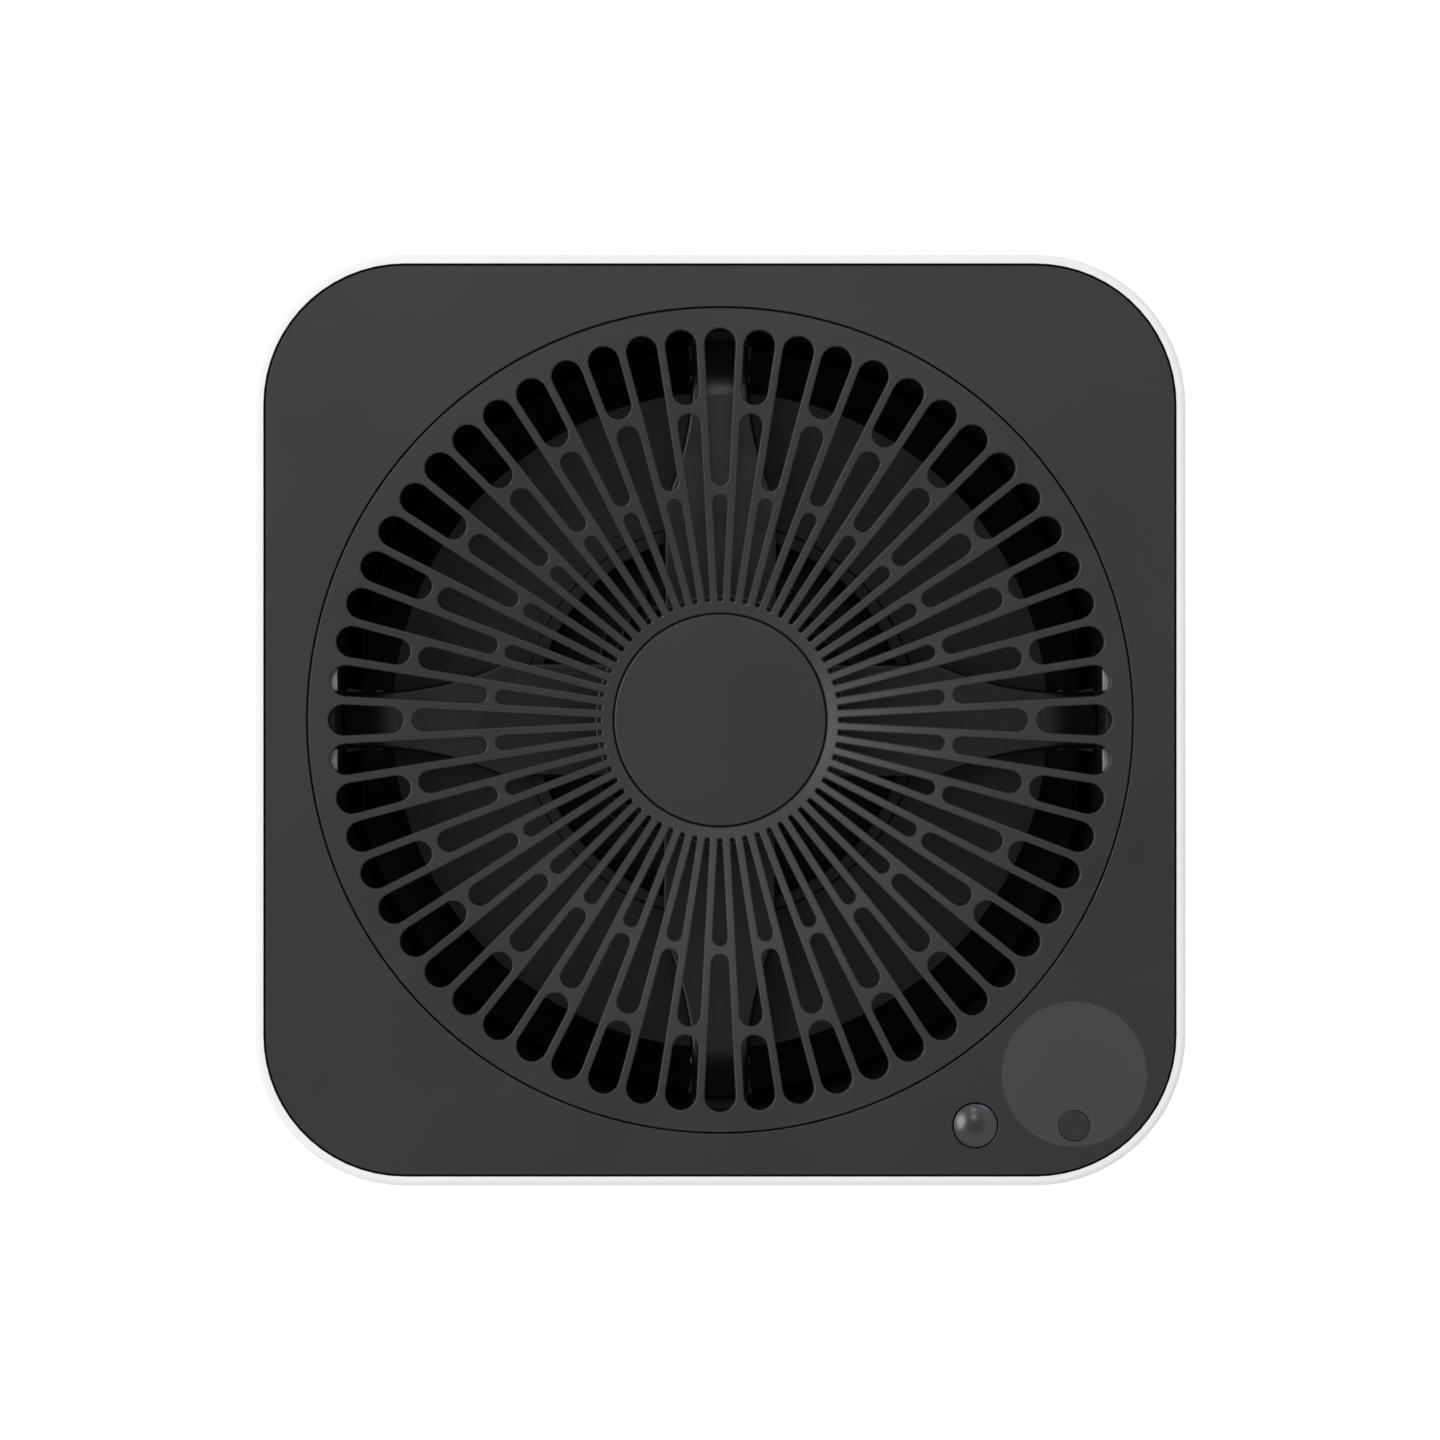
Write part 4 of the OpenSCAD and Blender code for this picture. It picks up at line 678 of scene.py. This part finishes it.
hub_seat = deck_mm - dish_drop - cap_t
under_hub = hub_seat - grille_t
rings = [36, 41, 46, 51, 56, 60.4, 64.3, 68.6, 73, 78, 81.8, 87.2, 92.6, 97, 101, 104.6, dish_r]
seat_r = cap_r + cap_gap
profile = [(0, under_hub), (0, hub_seat), (seat_r, hub_seat), (seat_r, dish_z(seat_r))]
profile += [(hub_r, dish_z(hub_r))] + [(r, dish_z(r)) for r in rings] + [(grille_r, deck_mm)]
profile += [(grille_r, deck_mm - grille_t)] + [(r, dish_z(r) - grille_t) for r in rings[::-1]]
profile += [(hub_r, under_hub), (0, under_hub)]
start = Matrix.Rotation(-half, 4, "Z")
sector = draw("grille_sector", [start @ Vector((r, 0, z)) for r, z in profile])
bpy.ops.mesh.remove_doubles(threshold=weld_gap)
bpy.ops.mesh.spin(steps=4, angle=4 * half, center=(0, 0, 0), axis=(0, 0, -1))
bpy.ops.mesh.select_all(action="SELECT")
bpy.ops.mesh.remove_doubles(threshold=weld_gap)
bpy.ops.mesh.fill_holes(sides=0)
bpy.ops.mesh.select_all(action="SELECT")
bpy.ops.mesh.normals_make_consistent(inside=False)
bpy.ops.object.mode_set(mode="OBJECT")
for turn, row in ((0, "odd"), (2 * half, "even")):
    cut(sector, slot_tool(slot_in, bridge_mid[row] - bridge_w / 2, turn, True))
    cut(sector, slot_tool(bridge_mid[row] + bridge_w / 2, slot_out, turn, False))

# The two flat ends of the sector go, so that thirty of them join into one skin.
choose(sector, "EDIT")
bpy.ops.mesh.select_all(action="DESELECT")
bpy.ops.object.mode_set(mode="OBJECT")
for face in sector.data.polygons:
    spots = [sector.data.vertices[k].co for k in face.vertices]
    turns = [math.atan2(spot.y, spot.x) for spot in spots if spot.xy.length > MM]
    face.select = any(all(abs(turn - end) < tiny_turn for turn in turns) for end in (-half, 3 * half))
bpy.ops.object.mode_set(mode="EDIT")
bpy.ops.mesh.select_mode(type="FACE")
bpy.ops.mesh.delete(type="FACE")
bpy.ops.mesh.select_mode(type="VERT")
bpy.ops.object.mode_set(mode="OBJECT")
sectors = [place_copy(sector, Matrix.Rotation(k * 4 * half, 4, "Z"), "grille_sector")
           for k in range(1, sector_n)]
grille = join([sector] + sectors, "outlet_grille_insert")
choose(grille, "EDIT")
bpy.ops.mesh.remove_doubles(threshold=merge_gap)
bpy.ops.object.mode_set(mode="OBJECT")
settle(soften(grille, 0.45), black_abs, "outlet_grille")

dress("grille_clips", "grille_spring_clips", drawn_steel, 0.3)


# ---- Centre cap ----
# A plain black disc pressed into the grille's hub, a hair below flush, with a fine edge radius.
# It is bare: nothing is printed on it or let into it.
cap_edge = 0.45
foot_edge = 0.2     # the bevel under the cap, and the flat border inside its edge radius
cap_low, cap_high = [corner.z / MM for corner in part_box("centre_cap")]
cap = turned("centre_cap_disc",
             [(0, cap_low), (cap_r - foot_edge, cap_low), (cap_r, cap_low + foot_edge)]
             + arc((cap_r - cap_edge, cap_high - cap_edge), cap_edge, 0, 90, 5)
             + [(cap_r - cap_edge - foot_edge, cap_high), (0, cap_high)], 128)
settle(cap, black_abs, "centre_cap")


# ---- Button ----
# A polished, smoke-tinted acrylic dome on a black stem; it travels a little over a millimetre.
# Highly glossy, so it catches the lamps as small soft lights.
deck_t = 3
button_r = 6.1
stem_r = 2
flange_w = 1.4
flange_h = 1.5
guide_h = 2.7              # of the deck's tube round the button, below its plate
seat_gap = 0.3
flange_top = deck_mm - deck_t - guide_h - seat_gap
shoulder = 0.6             # below the deck's face, where the side starts to lean in
dome_edge = (0.1, 0.15)    # the bevel between side and dome, in and down
dome_start = 0.35          # of the dome inside the button's radius

acrylic, tree, shader = new_material("polished_smoked_acrylic", Coat_Weight=0.9, Coat_Roughness=0.24,
                                     IOR=1.49)
place = add_node(tree, "ShaderNodeTexCoord")
haze = add_node(tree, "ShaderNodeTexNoise", [("Vector", place, "Object")], [("Scale", 1 / (5 * MM))])
tree.links.new(two_tone(tree, haze, "Fac", "#0b0c0f", "#131519").outputs["Color"],
               shader.inputs["Base Color"])
shine = add_node(tree, "ShaderNodeMapRange", [("Value", haze, "Fac")], [("To Min", 0.24), ("To Max", 0.3)])
tree.links.new(shine.outputs["Result"], shader.inputs["Roughness"])
low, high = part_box("power_button")
button_foot = low.z / MM
button_top = high.z / MM
button_dome = button_top - deck_mm
sphere_r = (button_r ** 2 + button_dome ** 2) / (2 * button_dome)
lean = math.degrees(math.asin((button_r - dome_start) / sphere_r))
dome = arc((0, button_top - sphere_r), sphere_r, 90 - lean, 90, 12)
button = turned("smoked_button",
                [(0, button_foot), (stem_r, button_foot), (stem_r, flange_top - flange_h),
                 (button_r + flange_w, flange_top - flange_h), (button_r + flange_w, flange_top),
                 (button_r, flange_top), (button_r, deck_mm - shoulder),
                 (button_r - dome_edge[0], dome[0][1] - dome_edge[1])] + dome)
button.data.transform(Matrix.Translation(((low + high) / 2).xy.to_3d()))
settle(button, acrylic, "power_button", body="button")


# ---- Sensor window and status inlay ----
# A dark tinted polycarbonate window over the light sensor, glossy and flush with the deck.
# Round it lies a disc a shade lighter than the deck, moulded into it as a second shot, so it has no seam.
tinted = moulded("tinted_polycarbonate", "#252625", "#2c2d2c", (0.2, 0.3), 1.2, 0.005)
dress("light_sensor_lens", "light_sensor_window", tinted, 0.12)

deck_edge = 0.3       # the deck's own edge radius, which the inlay covers
inlay_t = 0.8
inlay_drop = 0.004    # below the deck's face
window_lap = 0.8      # of the inlay inside the window's flange
inlay_low, inlay_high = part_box("status_disc")
inlay_r = (inlay_high.x - inlay_low.x) / 2 / MM + deck_edge
inlay_top = deck_mm - inlay_drop
window_low, window_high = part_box("light_sensor_lens")
hole_r = (window_high.x - window_low.x) / 2 / MM - window_lap
inlay = turned("status_inlay_disc", [(0, deck_mm - inlay_t), (inlay_r, deck_mm - inlay_t),
                                     (inlay_r, inlay_top), (0, inlay_top)], 160)
inlay.data.transform(Matrix.Translation(((inlay_low + inlay_high) / 2).xy.to_3d()))
hole = turned("hole", [(0, deck_mm - inlay_t - clear), (hole_r, deck_mm - inlay_t - clear),
                       (hole_r, deck_mm + clear), (0, deck_mm + clear)])
hole.data.transform(Matrix.Translation(((window_low + window_high) / 2).xy.to_3d()))
cut(inlay, hole)
diffuser = moulded("diffusing_polycarbonate", "#343635", "#393b3a", (0.36, 0.42), 0.35, 0.04)
settle(inlay, diffuser, "status_disc")


# ---- Control board ----
# A small glass-fibre board under the deck, with the same green solder mask as the supply board.
# It carries the button's switch and the light sensor, and stands on posts below the deck.
dress("control_board", "control_board", board_green, 0.15)


# ---- Floor and light ----
# A sheet of opal acrylic lit from below, one broad soft lamp at the left, small ones above and behind,
# and pale walls all round. None of it belongs to the unit.
sheet_size = 40
sheet_glow = 0.78
wall_light = 1.42

# Opal acrylic: milky white, with no grain to see.
opal_sheet, tree, shader = new_material("backlit_opal_acrylic", Roughness=0.8)
place = add_node(tree, "ShaderNodeTexCoord")
cloud = add_node(tree, "ShaderNodeTexNoise", [("Vector", place, "Object")], [("Scale", 1 / (250 * MM))])
tree.links.new(two_tone(tree, cloud, "Fac", "#9d9d9c", "#a3a3a2").outputs["Color"],
               shader.inputs["Base Color"])
shader.inputs["Emission Color"].default_value = linear("#ffffff")
shader.inputs["Emission Strength"].default_value = sheet_glow
bpy.ops.object.select_all(action="DESELECT")
bpy.ops.mesh.primitive_plane_add(size=sheet_size)
floor = bpy.context.object
floor.name = "studio_floor"
floor.data.materials.append(opal_sheet)

# The walls are brightest half way up and dark overhead, where the deck would mirror them.
world = bpy.data.worlds.new("pale_studio")
bpy.context.scene.world = world
world.use_nodes = True
sky = world.node_tree
sight = add_node(sky, "ShaderNodeTexCoord")
axes = add_node(sky, "ShaderNodeSeparateXYZ", [("Vector", sight, "Generated")])
walls = add_node(sky, "ShaderNodeValToRGB", [("Fac", axes, "Z")])
walls.color_ramp.elements[0].color = linear("#9f9f9f")
walls.color_ramp.elements[1].color = linear("#8c8c8c")
for height, grey in ((0.4, "#b4b4b4"), (0.68, "#cacaca"), (0.85, "#b8b8b8")):
    walls.color_ramp.elements.new(height).color = linear(grey)
sky.links.new(walls.outputs["Color"], sky.nodes["Background"].inputs["Color"])
sky.nodes["Background"].inputs["Strength"].default_value = wall_light


def lamp(name, lean, turn, away, size, power, colour="#ffffff"):
    """A soft lamp that looks at the deck: leaning from the vertical, turned about it from +X (degrees)."""
    light = bpy.data.lights.new(name, "AREA")
    light.shape = "ELLIPSE"
    light.size, light.size_y = size
    light.energy = power
    light.color = linear(colour)[:3]
    stand = bpy.data.objects.new(name, light)
    stand.matrix_world = (Matrix.Translation((0, 0, deck_z)) @ Matrix.Rotation(math.radians(turn), 4, "Z")
                          @ Matrix.Rotation(math.radians(lean), 4, "Y") @ Matrix.Translation((0, 0, away)))
    bpy.context.scene.collection.objects.link(stand)


lamp("left_softbox", 40, 172, 2.1, (0.9, 1.5), 15, "#fafbff")
lamp("left_window", 66, 150, 2.0, (0.16, 1.6), 3)
lamp("ceiling_lamp", 18, 90, 2.1, (0.5, 0.4), 1.9)
lamp("back_softbox", 41, 92, 2.1, (0.4, 0.4), 1.8, "#dfe9ff")
lamp("back_right_glow", 62, 57, 2.0, (0.5, 1.2), 3, "#c9dcff")
bpy.context.scene.view_settings.view_transform = "Standard"
